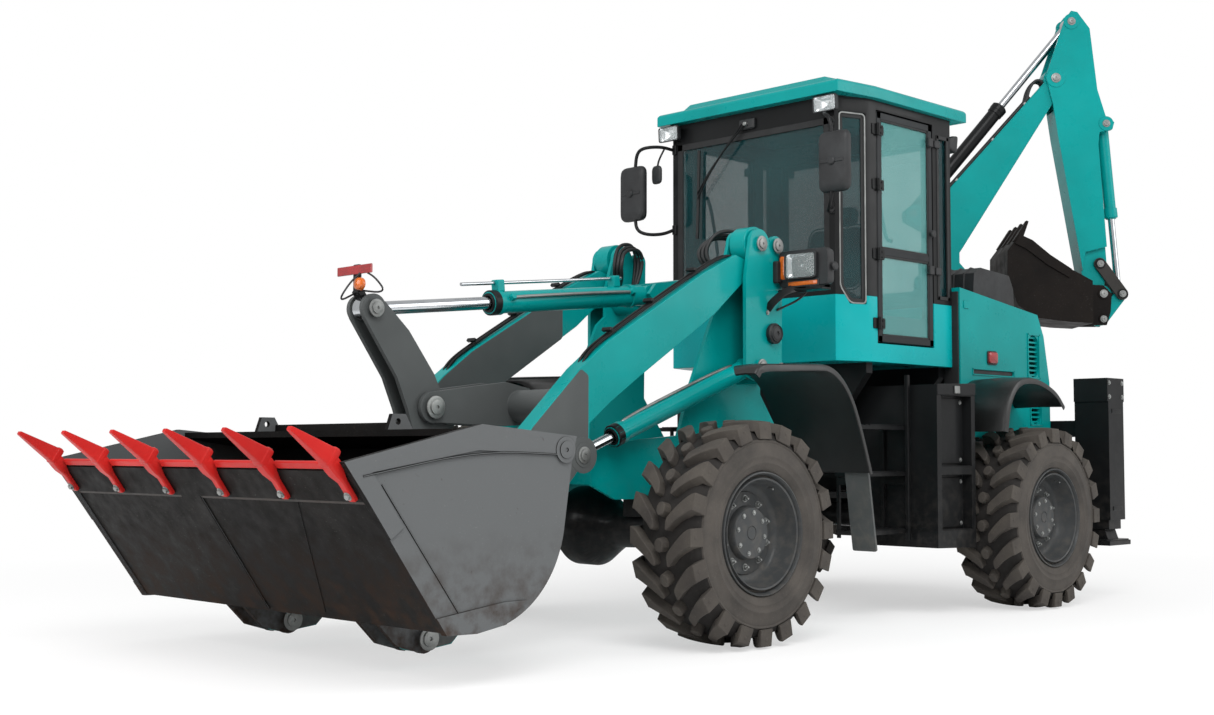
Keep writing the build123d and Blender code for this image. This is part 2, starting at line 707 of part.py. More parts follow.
with BuildPart() as roof_lamps:
    with BuildSketch(cross_plane(CAB_FRONT_X)):
        with Locations((-600, 2892), (600, 2892)):
            RectangleRounded(165, 95, 12)
    extrude(amount=70)
save(mirrors.part + roof_lamps.part, "mirrors_and_lamps")


# ---------------------------------------------------------------- cylinders
def barrel(plane, base, eye, length, radius, bore, ear, name):
    """Cylinder tube from its base eye towards the rod's eye, bored for the rod.

    ear is the width of the base eye along the pin.
    """
    axis = sloping_plane(plane, base, eye, plane.z_dir)
    with BuildPart() as tube:
        with BuildSketch(axis.offset(radius * 0.7)):
            Circle(radius)
        extrude(amount=length - radius * 0.7)
        with BuildSketch(axis.offset(length - 70)):
            Circle(radius + 7)
        extrude(amount=60)
        with BuildSketch(plane):
            with Locations(base):
                Circle(radius * 0.95)
        extrude(amount=ear / 2, both=True)
        with BuildSketch(axis.offset(radius * 1.6)):
            Circle(bore)
        extrude(amount=length, mode=Mode.SUBTRACT)
        with BuildSketch(plane):
            with Locations(base):
                Circle(radius * 0.5)
        extrude(amount=ear, both=True, mode=Mode.SUBTRACT)
    if name:
        save(tube.part, name)
    return tube.part


def rod(plane, base, eye, inner_end, radius, eye_r, ear, name):
    """Piston rod from inside its tube (a distance from the base eye) to its own eye."""
    axis = sloping_plane(plane, base, eye, plane.z_dir)
    length = span(base, eye)
    with BuildPart() as shaft:
        with BuildSketch(axis.offset(inner_end)):
            Circle(radius)
        extrude(amount=length - inner_end - eye_r * 0.6)
        with BuildSketch(plane):
            with Locations(eye):
                Circle(eye_r)
        extrude(amount=ear / 2, both=True)
        with BuildSketch(plane):
            with Locations(eye):
                Circle(eye_r * 0.5)
        extrude(amount=ear, both=True, mode=Mode.SUBTRACT)
    if name:
        save(shaft.part, name)
    return shaft.part


LIFT_TUBE = 1100.0
lift_pair = [side_plane(side * ARM_Y) for _, side in SIDES]
save(Compound([barrel(p, LIFT_BASE, LIFT_EYE, LIFT_TUBE, 50, 34, 96, None) for p in lift_pair]),
     "lift_barrels")
save(Compound([rod(p, LIFT_BASE, LIFT_EYE, 110, 26, 46, 44, None) for p in lift_pair]), "lift_rods")
barrel(side_plane(0), TILT_BASE, CRANK_TOP, 1130, 56, 40, 92, "tilt_barrel")
rod(side_plane(0), TILT_BASE, CRANK_TOP, 690, 32, 60, 60, "tilt_rod")
for side_name, side in SIDES:
    steer_plane = flat_plane(STEER_Z)
    steer_base = (STEER_BASE[0], side * STEER_BASE[1])
    steer_eye = (STEER_EYE[0], side * STEER_EYE[1])
    barrel(steer_plane, steer_base, steer_eye, 430, 30, 21, 50, f"steer_barrel_{side_name}")
    rod(steer_plane, steer_base, steer_eye, 300, 16, 28, 50, f"steer_rod_{side_name}")

# ---------------------------------------------------------------- loader arms
ARM_OUTLINE = ((760, 1945), (850, 1968), (1115, 1846), (1800, 1460), (1990, 1321), (2300, 1035),
               (2600, 500), (2755, 262), (2935, 195), (2935, 71), (2760, 90), (2300, 520), (1985, 850),
               (1930, 870), (1925, 1060), (1785, 1165), (1582, 1296), (1030, 1636), (760, 1850),
               (680, 1960), (760, 1945))
arms = []
for side_name, side in SIDES:
    with BuildPart() as arm:
        with BuildSketch(side_plane(side * ARM_Y)):
            with BuildLine():
                Polyline(*ARM_OUTLINE)
            make_face()
            with Locations(ARM_PIVOT):
                Circle(95)
            with Locations(BUCKET_HINGE):
                Circle(62)
            with Locations(LIFT_EYE):
                Circle(66)
        extrude(amount=ARM_T / 2, both=True)
        with BuildSketch(side_plane(side * ARM_Y)):
            with BuildLine():
                Polyline((1800, 780), (2050, 780), (2050, 990), (1960, 1010), (1800, 1120), (1800, 780))
            make_face()
        extrude(amount=29, both=True, mode=Mode.SUBTRACT)
        with BuildSketch(side_plane(side * ARM_Y)):
            with Locations(ARM_PIVOT):
                Circle(36)
            with Locations(BUCKET_HINGE):
                Circle(30)
        extrude(amount=ARM_T, both=True, mode=Mode.SUBTRACT)
    arms.append(arm.part)
save(arms[0] + arms[1], "loader_arms")

CROSS_TUBE = (1960.0, 1150.0)
with BuildPart() as cross_tube:
    with BuildSketch(side_plane(ARM_Y - ARM_T / 2)):
        with Locations(CROSS_TUBE):
            Circle(80)
    extrude(amount=2 * ARM_Y - ARM_T)
    for plate_y in (95, -70):
        with BuildSketch(side_plane(plate_y)):
            with BuildLine():
                Polyline((1890, 1240), (2050, 1268), (2520, 1205), (2520, 1062), (2050, 1050), (1890, 1060),
                         (1890, 1240))
            make_face()
            with Locations(CRANK_PIVOT):
                Circle(75)
        extrude(amount=25)
    for head_y in (110, -95):
        with BuildSketch(side_plane(head_y)):
            with Locations(CRANK_PIVOT):
                Circle(34)
        extrude(amount=15)
save(cross_tube.part, "cross_tube")

with BuildPart() as bellcrank:
    for plate_y in (62, -38):
        with BuildSketch(side_plane(plate_y)):
            with BuildLine():
                Polyline((2765, 1620), (2623, 1491), (2470, 1290), (2400, 1150), (2378, 800), (2482, 780),
                         (2590, 1010), (2625, 1120), (2690, 1270), (2880, 1540), (2765, 1620))
            make_face()
            with Locations(CRANK_TOP):
                Circle(68)
            with Locations(CRANK_LOW):
                Circle(56)
            with Locations(CRANK_PIVOT):
                Circle(32, mode=Mode.SUBTRACT)
        extrude(amount=24)
    for head_y in (78, -62):
        with BuildSketch(side_plane(head_y)):
            with Locations(CRANK_TOP):
                Circle(30)
        extrude(amount=16)
    with BuildSketch(side_plane(38)):
        with Locations((2470, 1000)):
            Circle(22)
        with Locations((2500, 1260)):
            Circle(22)
    extrude(amount=76)
save(bellcrank.part, "bellcrank")

with BuildPart() as bucket_link:
    with BuildSketch(side_plane(0)):
        with Locations(CRANK_LOW, LINK_EAR):
            Circle(46)
        with BuildLine():
            Polyline((2400, 770), (2461, 832), (2612, 682), (2548, 618), (2400, 770))
        make_face()
        with Locations(CRANK_LOW, LINK_EAR):
            Circle(24, mode=Mode.SUBTRACT)
    extrude(amount=28, both=True)
save(bucket_link.part, "bucket_link")

# ---------------------------------------------------------------- loader bucket
with BuildPart() as bucket_shell:
    with BuildSketch(side_plane(BUCKET_W / 2 - BUCKET_SIDE_T)):
        with BuildLine():
            Polyline((3790, 936), (3283, 226), (3141, 224), (3000, 246))
            ThreePointArc((3000, 246), (2815, 362), (2688, 604))
            Polyline((2688, 604), (2660, 850), (2700, 962), (3100, 1018), (3790, 936))
        make_face()
        offset(amount=-BUCKET_SHELL_T, kind=Kind.INTERSECTION, mode=Mode.SUBTRACT)
        with BuildLine():
            Polyline((3092, 950), (3092, 1100), (3900, 1100), (3900, 880), (3650, 880), (3200, 930),
                     (3092, 950))
        make_face(mode=Mode.SUBTRACT)
    extrude(amount=BUCKET_W - 2 * BUCKET_SIDE_T)
    # wear band under the lip, and the upright strip on the floor plate
    with BuildSketch(side_plane(BUCKET_W / 2 - BUCKET_SIDE_T)):
        with BuildLine():
            Polyline((3734, 857.5), (3651.4, 741.9), (3660.4, 735.5), (3743, 851.1), (3734, 857.5))
        make_face()
    extrude(amount=BUCKET_W - 2 * BUCKET_SIDE_T)
    # hinge ears under the floor, a pair round each arm's end
    for ear_y in (ARM_Y + ARM_T / 2 + 32, ARM_Y - ARM_T / 2 - 8):
        for side in (1, -1):
            with BuildSketch(side_plane(side * ear_y)):
                with BuildLine():
                    Polyline((2830, 345), (3000, 240), (3141, 230), (3200, 230), (3080, 110), (2935, 66),
                             (2870, 133), (2830, 345))
                make_face()
                with Locations(BUCKET_HINGE):
                    Circle(66)
            extrude(amount=side * 24)
    # ears for the bucket link, and the two open ears on the top edge with the beam between them
    for ear_y in (62, -38):
        with BuildSketch(side_plane(ear_y)):
            with BuildLine():
                Polyline((2690, 560), (2590, 598), (2540, 640), (2560, 700), (2690, 790), (2690, 560))
            make_face()
        extrude(amount=24)
    for ear_y in (TOP_EAR_Y, -TOP_EAR_Y + TOP_EAR_T):
        with BuildSketch(side_plane(ear_y)):
            with BuildLine():
                Polyline((2930, 985), (2990, 1085), (3060, 1085), (3090, 1000), (2930, 985))
            make_face()
            with Locations(TOP_EAR):
                Circle(TOP_EAR_R, mode=Mode.SUBTRACT)
        extrude(amount=TOP_EAR_T)
    with BuildSketch(side_plane(TOP_EAR_Y - TOP_EAR_T)):
        with BuildLine():
            Polyline((2945, 985), (2945, 1040), (2985, 1050), (2990, 985), (2945, 985))
        make_face()
    extrude(amount=2 * TOP_EAR_Y - 2 * TOP_EAR_T)

with BuildPart() as bucket_sides:
    for side in (1, -1):
        with BuildSketch(side_plane(side * BUCKET_W / 2)):
            with BuildLine():
                Polyline((2990, 240), (3141, 216), (3290, 219), (3677, 757), (3773, 884), (3121, 1032),
                         (2608, 989), (2632, 862), (2673, 600))
                ThreePointArc((2673, 600), (2803, 351), (2990, 240))
            make_face()
        extrude(amount=side * BUCKET_SIDE_T)
        # stiffening strip along the top, side cutter at the lip and wear plate at the bottom corner
        with BuildSketch(side_plane(side * (BUCKET_W / 2 + SIDE_STRIP_T))):
            with BuildLine():
                Polyline((2608, 989), (3121, 1032), (3765, 886), (3700, 838), (3136, 930), (2630, 905),
                         (2608, 989))
            make_face()
            with BuildLine():
                Polyline((3773, 884), (3677, 757), (3560, 595), (3500, 640), (3610, 800), (3660, 862),
                         (3765, 886), (3773, 884))
            make_face()
            with BuildLine():
                Polyline((2990, 240), (3141, 216), (3290, 219), (3340, 288), (3250, 300), (3000, 330),
                         (2880, 330), (2990, 240))
            make_face()
        extrude(amount=side * SIDE_STRIP_T)
save(bucket_shell.part + bucket_sides.part, "loader_bucket")

TOOTH_LEG = ((3668.6, 746.8), (3756.9, 870.6), (3800, 925), (3806, 905), (3795, 868), (3700, 730),
             (3668.6, 746.8))
TOOTH_POINT = ((3756.9, 870.6), (3790, 922), (3962, 1013), (3965, 1003), (3822, 872), (3786, 852),
               (3756.9, 870.6))
EDGE_STRIP = ((3737.2, 862), (3757.2, 890), (3768, 883), (3756.8, 867.2), (3747, 855), (3737.2, 862))
TOOTH_HALF = 32.0
with BuildPart() as bucket_teeth:
    for tooth_y in TOOTH_Y:
        with BuildSketch(side_plane(tooth_y + TOOTH_HALF - 8)):
            with BuildLine():
                Polyline(*TOOTH_LEG)
            make_face()
        extrude(amount=2 * TOOTH_HALF - 16)
        with BuildSketch(side_plane(tooth_y + TOOTH_HALF)):
            with BuildLine():
                Polyline(*TOOTH_POINT)
            make_face()
        extrude(amount=2 * TOOTH_HALF)
    for left, right in zip(TOOTH_Y[1:], TOOTH_Y):
        with BuildSketch(side_plane(left - TOOTH_HALF - 10)):
            with BuildLine():
                Polyline(*EDGE_STRIP)
            make_face()
        extrude(amount=left - right - 2 * TOOTH_HALF - 20)
save(bucket_teeth.part, "bucket_teeth")

# ---------------------------------------------------------------- side-shift frame
LEG_Y = (885.0, 1120.0)
LEG_X = (-2340.0, -2140.0)
LEG_WALL = 14.0
PAD_Z = 340.0                 # underside of a raised stabiliser pad
with BuildPart() as shift_frame:
    for beam_z, beam_h in ((1030, 105), (520, 105)):
        with BuildSketch(flat_plane(beam_z)):
            with Locations((-2240, 0)):
                Rectangle(160, 2 * LEG_Y[0])
        extrude(amount=beam_h)
    for post_y in (-500, 500):
        with BuildSketch(flat_plane(625)):
            with Locations((-2240, post_y)):
                Rectangle(140, 60)
        extrude(amount=405)
    for side in (1, -1):
        leg_middle = (sum(LEG_X) / 2, side * sum(LEG_Y) / 2)
        with BuildSketch(flat_plane(500)):
            with Locations(leg_middle):
                Rectangle(LEG_X[1] - LEG_X[0], LEG_Y[1] - LEG_Y[0])
        extrude(amount=890)
        with BuildSketch(flat_plane(1255)):
            with Locations(leg_middle):
                Rectangle(LEG_X[1] - LEG_X[0] + 20, LEG_Y[1] - LEG_Y[0])
        extrude(amount=150)
        with BuildSketch(flat_plane(520)):
            with Locations((-2375, side * 1000)):
                Rectangle(80, 120)
        extrude(amount=720)
        with BuildSketch(flat_plane(490)):
            with Locations(leg_middle):
                Rectangle(LEG_X[1] - LEG_X[0] - 2 * LEG_WALL, LEG_Y[1] - LEG_Y[0] - 2 * LEG_WALL)
        extrude(amount=870, mode=Mode.SUBTRACT)

for side_name, side in SIDES:
    leg_middle = (sum(LEG_X) / 2, side * sum(LEG_Y) / 2)
    with BuildPart() as leg:
        with BuildSketch(flat_plane(440)):
            with Locations(leg_middle):
                Rectangle(LEG_X[1] - LEG_X[0] - 2 * LEG_WALL - 2 * CLEAR,
                          LEG_Y[1] - LEG_Y[0] - 2 * LEG_WALL - 2 * CLEAR)
        extrude(amount=880)
        with BuildSketch(flat_plane(PAD_Z)):
            with Locations((leg_middle[0], side * 1010)):
                Rectangle(280, 250)
        extrude(amount=30)
        with BuildSketch(cross_plane(LEG_X[0] + 30)):
            with BuildLine():
                Polyline((side * 930, 370), (side * 1090, 370), (side * 1050, 480), (side * 960, 480),
                         (side * 930, 370))
            make_face()
        extrude(amount=140)
    save(leg.part, f"stabiliser_leg_{side_name}")

CARRIAGE_X = -2330.0
POST_RING_R = 85.0
with BuildPart() as carriage:
    with BuildSketch(cross_plane(CARRIAGE_X)):
        with Locations((SWING_Y, 828)):
            Rectangle(460, 820)
    extrude(amount=-50)
    for ring_z in (418, 1138):
        with BuildSketch(flat_plane(ring_z)):
            with BuildLine():
                Polyline((CARRIAGE_X - 50, SWING_Y - 150), (SWING_X + 110, SWING_Y - 60),
                         (SWING_X, SWING_Y - 60), (SWING_X, SWING_Y + 60), (SWING_X + 110, SWING_Y + 60),
                         (CARRIAGE_X - 50, SWING_Y + 150), (CARRIAGE_X - 50, SWING_Y - 150))
            make_face()
            with Locations((SWING_X, SWING_Y)):
                Circle(POST_RING_R)
        extrude(amount=60)
save(shift_frame.part + carriage.part, "shift_frame")

# ---------------------------------------------------------------- backhoe
POST_PLATE_Y = 84.0
POST_PLATE_T = 24.0
with BuildPart() as swing_post:
    with BuildSketch(flat_plane(484)):
        with Locations((SWING_X, SWING_Y)):
            Circle(66)
    extrude(amount=648)
    for face in (POST_PLATE_Y, -POST_PLATE_Y - POST_PLATE_T):
        with BuildSketch(hoe_plane(face)):
            with BuildLine():
                Polyline((-40, 520), (-40, 1090), (90, 1100), (215, 1090), (300, 1010), (480, 740),
                         (490, 660), (420, 620), (200, 540), (-40, 520))
            make_face()
        extrude(amount=POST_PLATE_T)
    with BuildSketch(hoe_plane(-POST_PLATE_Y - POST_PLATE_T)):
        with BuildLine():
            Polyline((-40, 560), (-40, 860), (80, 860), (110, 700), (110, 560), (-40, 560))
        make_face()
    extrude(amount=2 * (POST_PLATE_Y + POST_PLATE_T))
save(swing_post.part, "swing_post")

BOOM_HALF = 75.0
with BuildPart() as boom:
    with BuildSketch(hoe_plane()):
        with BuildLine():
            Polyline((112, 1000), (70, 1600), (0, 2300), (15, 2560), (75, 2730), (905, 3660), (983, 3693),
                     (1010, 3600), (955, 3500), (262, 2400), (262, 2320), (330, 2240), (455, 2160),
                     (455, 2080), (300, 1980), (310, 1600), (288, 1000), (112, 1000))
        make_face()
        with Locations(BOOM_FOOT):
            Circle(88)
        with Locations(DIPPER_PIVOT):
            Circle(82)
        with BuildLine():
            Polyline((20, 2560), (-130, 2640), (-130, 2720), (-60, 2750), (75, 2730), (20, 2560))
        make_face()
    extrude(amount=BOOM_HALF, both=True)
    # slots for the eyes of the boom and crowd cylinders
    with BuildSketch(hoe_plane()):
        with Locations(BOOM_CYL_EYE):
            Circle(100)
        with BuildLine():
            Polyline((340, 2240), (340, 1900), (600, 1900), (600, 2240), (340, 2240))
        make_face()
        with Locations(CROWD_BASE):
            Circle(140)
    extrude(amount=57, both=True, mode=Mode.SUBTRACT)
    with BuildSketch(hoe_plane()):
        with Locations(BOOM_FOOT):
            Circle(36)
        with Locations(DIPPER_PIVOT):
            Circle(34)
    extrude(amount=200, both=True, mode=Mode.SUBTRACT)
save(boom.part, "boom")

hoe = hoe_plane()
post_half = 2 * (POST_PLATE_Y - CLEAR)
barrel(hoe, BOOM_CYL_BASE, BOOM_CYL_EYE, 740, 48, 33, post_half, "boom_barrel")
rod(hoe, BOOM_CYL_BASE, BOOM_CYL_EYE, 640, 28, 46, 70, "boom_rod")
barrel(hoe, CROWD_BASE, DIPPER_TOP, 1050, 50, 34, 70, "crowd_barrel")
rod(hoe, CROWD_BASE, DIPPER_TOP, 830, 28, 44, 100, "crowd_rod")
barrel(hoe, BUCKET_CYL_BASE, GUIDE_END, 690, 42, 29, 80, "hoe_bucket_barrel")
rod(hoe, BUCKET_CYL_BASE, GUIDE_END, 560, 24, 40, 60, "hoe_bucket_rod")

DIPPER_GAP = 82.0
DIPPER_HALF = 100.0
DIPPER_OUTLINE = ((1055, 4130), (911, 3710), (961, 3500), (993, 3261), (1168, 2206), (1245, 2050),
                  (1310, 2025), (1346, 2322), (1290, 3200), (1300, 3290), (1395, 3310), (1410, 3365),
                  (1350, 3400), (1289, 3608), (1240, 4066), (1150, 4190), (1105, 4199), (1055, 4130))
with BuildPart() as dipper:
    with BuildSketch(hoe):
        with BuildLine():
            Polyline(*DIPPER_OUTLINE)
        make_face()
        with Locations(HOE_PIVOT):
            Circle(66)
    extrude(amount=DIPPER_HALF, both=True)
    # the upper end is two plates round the boom's end and the crowd cylinder's eye
    with BuildSketch(hoe):
        with BuildLine():
            Polyline((800, 3450), (1000, 3450), (1130, 3560), (1190, 3760), (1170, 3900), (1210, 4010),
                     (1210, 4260), (900, 4260), (800, 3450))
        make_face()
    extrude(amount=DIPPER_GAP, both=True, mode=Mode.SUBTRACT)
    # slot for the bucket cylinder's base
    with BuildSketch(hoe):
        with BuildLine():
            Polyline((1296, 3450), (1296, 3240), (1500, 3240), (1500, 3450), (1296, 3450))
        make_face()
    extrude(amount=46, both=True, mode=Mode.SUBTRACT)
    # the lower end is one narrow eye between the bucket's ears
    for face in (62, -62):
        with BuildSketch(hoe_plane(face)):
            with BuildLine():
                Polyline((1100, 1900), (1500, 1900), (1500, 2480), (1180, 2400), (1100, 1900))
            make_face()
        extrude(amount=100 if face > 0 else -100, mode=Mode.SUBTRACT)
save(dipper.part, "dipper")

with BuildPart() as guide_link:
    for face in (70, -92):
        with BuildSketch(hoe_plane(face)):
            with Locations(GUIDE_PIVOT, GUIDE_END):
                Circle(44)
            with BuildLine():
                Polyline((1254, 2289), (1326, 2339), (1485, 2117), (1413, 2067), (1254, 2289))
            make_face()
        extrude(amount=22)
save(guide_link.part, "guide_link")

with BuildPart() as hoe_link:
    for face in (38, -60):
        with BuildSketch(hoe_plane(face)):
            with Locations(GUIDE_END, HOE_LINK_EAR):
                Circle(44)
            with BuildLine():
                Polyline((1480, 2060), (1418, 2123), (1275, 1937), (1337, 1875), (1480, 2060))
            make_face()
        extrude(amount=22)
save(hoe_link.part, "hoe_bucket_link")

with BuildPart() as hoe_bucket:
    with BuildSketch(hoe_plane(-HOE_W / 2)):
        with BuildLine():
            Polyline((655, 2505), (567, 2385), (564, 2180), (640, 1990), (760, 1900), (1018, 1870),
                     (1180, 1862), (1180, 2170), (1026, 2254), (873, 2356), (746, 2463), (655, 2505))
        make_face()
    extrude(amount=HOE_W)
    with BuildSketch(hoe_plane(-HOE_W / 2 + 20)):
        with BuildLine():
            Polyline((730, 2564), (590, 2372), (592, 2190), (662, 2010), (776, 1928), (1022, 1897),
                     (1140, 1890), (1140, 2250), (1026, 2400), (730, 2564))
        make_face()
    extrude(amount=HOE_W - 40, mode=Mode.SUBTRACT)
    for face in (68, -92):
        with BuildSketch(hoe_plane(face)):
            with BuildLine():
                Polyline((1170, 1862), (1330, 1862), (1360, 1960), (1370, 2093), (1310, 2155), (1170, 2160),
                         (1170, 1862))
            make_face()
        extrude(amount=24)

SIDE_CUTTER_T = 14.0
with BuildPart() as side_cutters:
    for face in (HOE_W / 2, -HOE_W / 2 - SIDE_CUTTER_T):
        with BuildSketch(hoe_plane(face)):
            with BuildLine():
                Polyline((655, 2505), (746, 2463), (873, 2356), (1026, 2254), (1010, 2190), (850, 2285),
                         (700, 2400), (618, 2440), (655, 2505))
            make_face()
        extrude(amount=SIDE_CUTTER_T)

with BuildPart() as hoe_teeth:
    for tooth_y in (-233, -78, 78, 233):
        with BuildSketch(hoe_plane(tooth_y - 25)):
            with BuildLine():
                Polyline((613, 2461), (646, 2512), (710, 2608), (724, 2600), (684, 2487), (647, 2437),
                         (613, 2461))
            make_face()
        extrude(amount=50)
save(hoe_bucket.part + side_cutters.part + hoe_teeth.part, "hoe_bucket")
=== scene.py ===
import json
from math import radians

import bmesh
import bpy
import numpy as np
from mathutils import Matrix


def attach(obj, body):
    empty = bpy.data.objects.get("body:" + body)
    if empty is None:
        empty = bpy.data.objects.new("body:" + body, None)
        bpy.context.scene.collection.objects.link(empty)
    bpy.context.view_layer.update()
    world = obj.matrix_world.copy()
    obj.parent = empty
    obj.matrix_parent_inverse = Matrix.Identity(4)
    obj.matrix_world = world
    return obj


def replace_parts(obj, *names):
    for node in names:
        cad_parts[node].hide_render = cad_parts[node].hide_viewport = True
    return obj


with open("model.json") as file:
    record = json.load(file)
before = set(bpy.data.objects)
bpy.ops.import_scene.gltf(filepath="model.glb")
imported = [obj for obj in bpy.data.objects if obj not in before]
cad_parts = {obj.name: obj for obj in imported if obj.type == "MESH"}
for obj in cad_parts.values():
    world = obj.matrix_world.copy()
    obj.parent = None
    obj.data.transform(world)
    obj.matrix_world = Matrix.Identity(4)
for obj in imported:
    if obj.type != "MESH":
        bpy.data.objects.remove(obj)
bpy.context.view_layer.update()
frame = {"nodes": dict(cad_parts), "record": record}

# ------------------------------------------------------------------ places
# Lengths are in metres, in the row frame: +X forward, +Y to the machine's left, +Z up.
JOINTS = {joint["name"]: joint for joint in frame["record"]["behaviour"]["joints"]}
SIDES = (("left", 1), ("right", -1))
WHEELS = ("front_left", "front_right", "rear_left", "rear_right")
PIVOT_X = JOINTS["articulation"]["pos_m"][0]


def joint_point(name):
    """Place of a hinge."""
    return np.array(JOINTS[name]["pos_m"], float)


def at(x, y, z):
    """Point given from the articulation hinge along X, in metres."""
    return np.array([PIVOT_X + x, y, z], float)


SWING = joint_point("hoe_swing") * [1, 1, 0]
OUT = np.array([-0.7071068, 0.7071068, 0.0])       # the digging arm's own forward direction, as parked
ACROSS = np.array([0.7071068, 0.7071068, 0.0])     # along the digging arm's pins
UP = np.array([0.0, 0.0, 1.0])


def hoe(reach, height, across=0.0):
    """Point in the digging arm's plane, from the swing pin."""
    return SWING + OUT * reach + UP * height + ACROSS * across


# ------------------------------------------------------------------ materials
def linear(code):
    """sRGB hex colour as linear RGBA."""
    parts = np.array([int(code[i:i + 2], 16) for i in (1, 3, 5)]) / 255
    parts = np.where(parts <= 0.04045, parts / 12.92, ((parts + 0.055) / 1.055) ** 2.4)
    return (*parts.tolist(), 1.0)


def add(tree, kind, settings=None, links=None, inputs=None):
    """Adds a node: its properties, its input values and the sockets that feed it."""
    made = tree.nodes.new("ShaderNode" + kind)
    for key, value in (settings or {}).items():
        setattr(made, key, value)
    for key, value in (inputs or {}).items():
        made.inputs[key].default_value = value
    for key, source in (links or {}).items():
        tree.links.new(source, made.inputs[key])
    return made


def start(name):
    """A new material's tree, shader and the object's own coordinates."""
    made = bpy.data.materials.new(name)
    made.use_nodes = True
    tree = made.node_tree
    shader = tree.nodes["Principled BSDF"]
    place = add(tree, "TexCoord").outputs["Object"]
    return made, tree, shader, place


def noise(tree, place, size, detail=4.0, stretch=(1, 1, 1)):
    """Noise whose blotches are about size metres across, stretched along the axes."""
    spread = add(tree, "Mapping", inputs={"Scale": tuple(1 / (size * s) for s in stretch)},
                 links={"Vector": place})
    made = add(tree, "TexNoise", inputs={"Scale": 1.0, "Detail": detail, "Roughness": 0.6},
               links={"Vector": spread.outputs["Vector"]})
    return made.outputs["Fac"]


def ramp(tree, source, low, high, first=0.0, last=1.0):
    """Source stretched so that low gives first and high gives last."""
    made = add(tree, "MapRange", settings={"clamp": True}, links={"Value": source},
               inputs={"From Min": low, "From Max": high, "To Min": first, "To Max": last})
    return made.outputs["Result"]


def mix(tree, amount, first, second):
    """Two colours, given as hex codes or sockets, mixed by amount."""
    made = add(tree, "Mix", settings={"data_type": "RGBA"}, links={"Factor": amount})
    for index, colour in ((6, first), (7, second)):
        if isinstance(colour, str):
            made.inputs[index].default_value = linear(colour)
        else:
            tree.links.new(colour, made.inputs[index])
    return made.outputs[2]


def product(tree, first, second):
    """Two values multiplied."""
    made = add(tree, "Math", settings={"operation": "MULTIPLY"}, links={0: first, 1: second})
    return made.outputs["Value"]


def bump(tree, shader, height, depth, strength=1.0):
    """Relief of depth metres in the shader's normal."""
    made = add(tree, "Bump", inputs={"Strength": strength, "Distance": depth}, links={"Height": height})
    tree.links.new(made.outputs["Normal"], shader.inputs["Normal"])


def height_of(tree, place):
    """Height above the ground."""
    return add(tree, "SeparateXYZ", links={"Vector": place}).outputs["Z"]


def enamel(name, colour, faded, dust, dust_top=1.0, gloss=0.3, coat=0.35):
    """Sprayed machine enamel: orange peel, slow shifts of shade, and dust that thins out upwards."""
    made, tree, shader, place = start(name)
    shade = mix(tree, ramp(tree, noise(tree, place, 0.55, 3), 0.35, 0.7), colour, faded)
    low = ramp(tree, height_of(tree, place), 0.3, dust_top, 0.5, 0.0)
    speckle = ramp(tree, noise(tree, place, 0.05, 8), 0.45, 0.75)
    shade = mix(tree, product(tree, low, speckle), shade, dust)
    tree.links.new(shade, shader.inputs["Base Color"])
    rough = ramp(tree, noise(tree, place, 0.12, 6), 0.3, 0.75, gloss, gloss + 0.16)
    tree.links.new(rough, shader.inputs["Roughness"])
    shader.inputs["IOR"].default_value = 1.24
    shader.inputs["Coat Weight"].default_value = coat
    shader.inputs["Coat IOR"].default_value = 1.22
    shader.inputs["Coat Roughness"].default_value = 0.08
    bump(tree, shader, noise(tree, place, 0.006, 2), 0.0004, 0.35)
    return made


def sideways(tree):
    """How far a surface's own normal turns towards the machine's left or right, 0 to 1."""
    normal = add(tree, "NewGeometry").outputs["Normal"]
    parts = add(tree, "SeparateXYZ", links={"Vector": normal})
    return add(tree, "Math", settings={"operation": "ABSOLUTE"},
               links={0: parts.outputs["Y"]}).outputs["Value"]


def worn_steel(name, colour, scuffed, rust, plate):
    """Painted bucket plate, with soft clouds, bright flecks and rusty marks; its sideways faces take the
    paler plate colour as a lit copy, its other faces the darker colour as painted shade over dirt.
    """
    made, tree, shader, place = start(name)
    cloud = ramp(tree, noise(tree, place, 0.35, 5), 0.35, 0.68)
    shade = mix(tree, cloud, colour, scuffed)
    # painted light: faces turned sideways get the paler plate colour as a lit copy, the rest keep the darker
    # colour as painted shade over dirt
    shade = mix(tree, ramp(tree, sideways(tree), 0.85, 0.97), shade, plate)
    fleck = ramp(tree, noise(tree, place, 0.008, 8, (1.6, 1.6, 1.0)), 0.62, 0.76, 0.0, 0.28)
    shade = mix(tree, product(tree, fleck, cloud), shade, "#a3a19b")
    low = ramp(tree, height_of(tree, place), 0.2, 0.62, 0.85, 0.0)
    stain = ramp(tree, noise(tree, place, 0.09, 8), 0.42, 0.66)
    shade = mix(tree, product(tree, low, stain), shade, rust)
    spots = ramp(tree, noise(tree, place, 0.03, 10), 0.67, 0.78, 0.0, 0.5)
    shade = mix(tree, spots, shade, rust)
    tree.links.new(shade, shader.inputs["Base Color"])
    rough = ramp(tree, noise(tree, place, 0.09, 7), 0.3, 0.7, 0.42, 0.66)
    tree.links.new(rough, shader.inputs["Roughness"])
    shader.inputs["Metallic"].default_value = 0.0
    shader.inputs["IOR"].default_value = 1.19
    bump(tree, shader, noise(tree, place, 0.012, 6), 0.0006, 0.5)
    return made


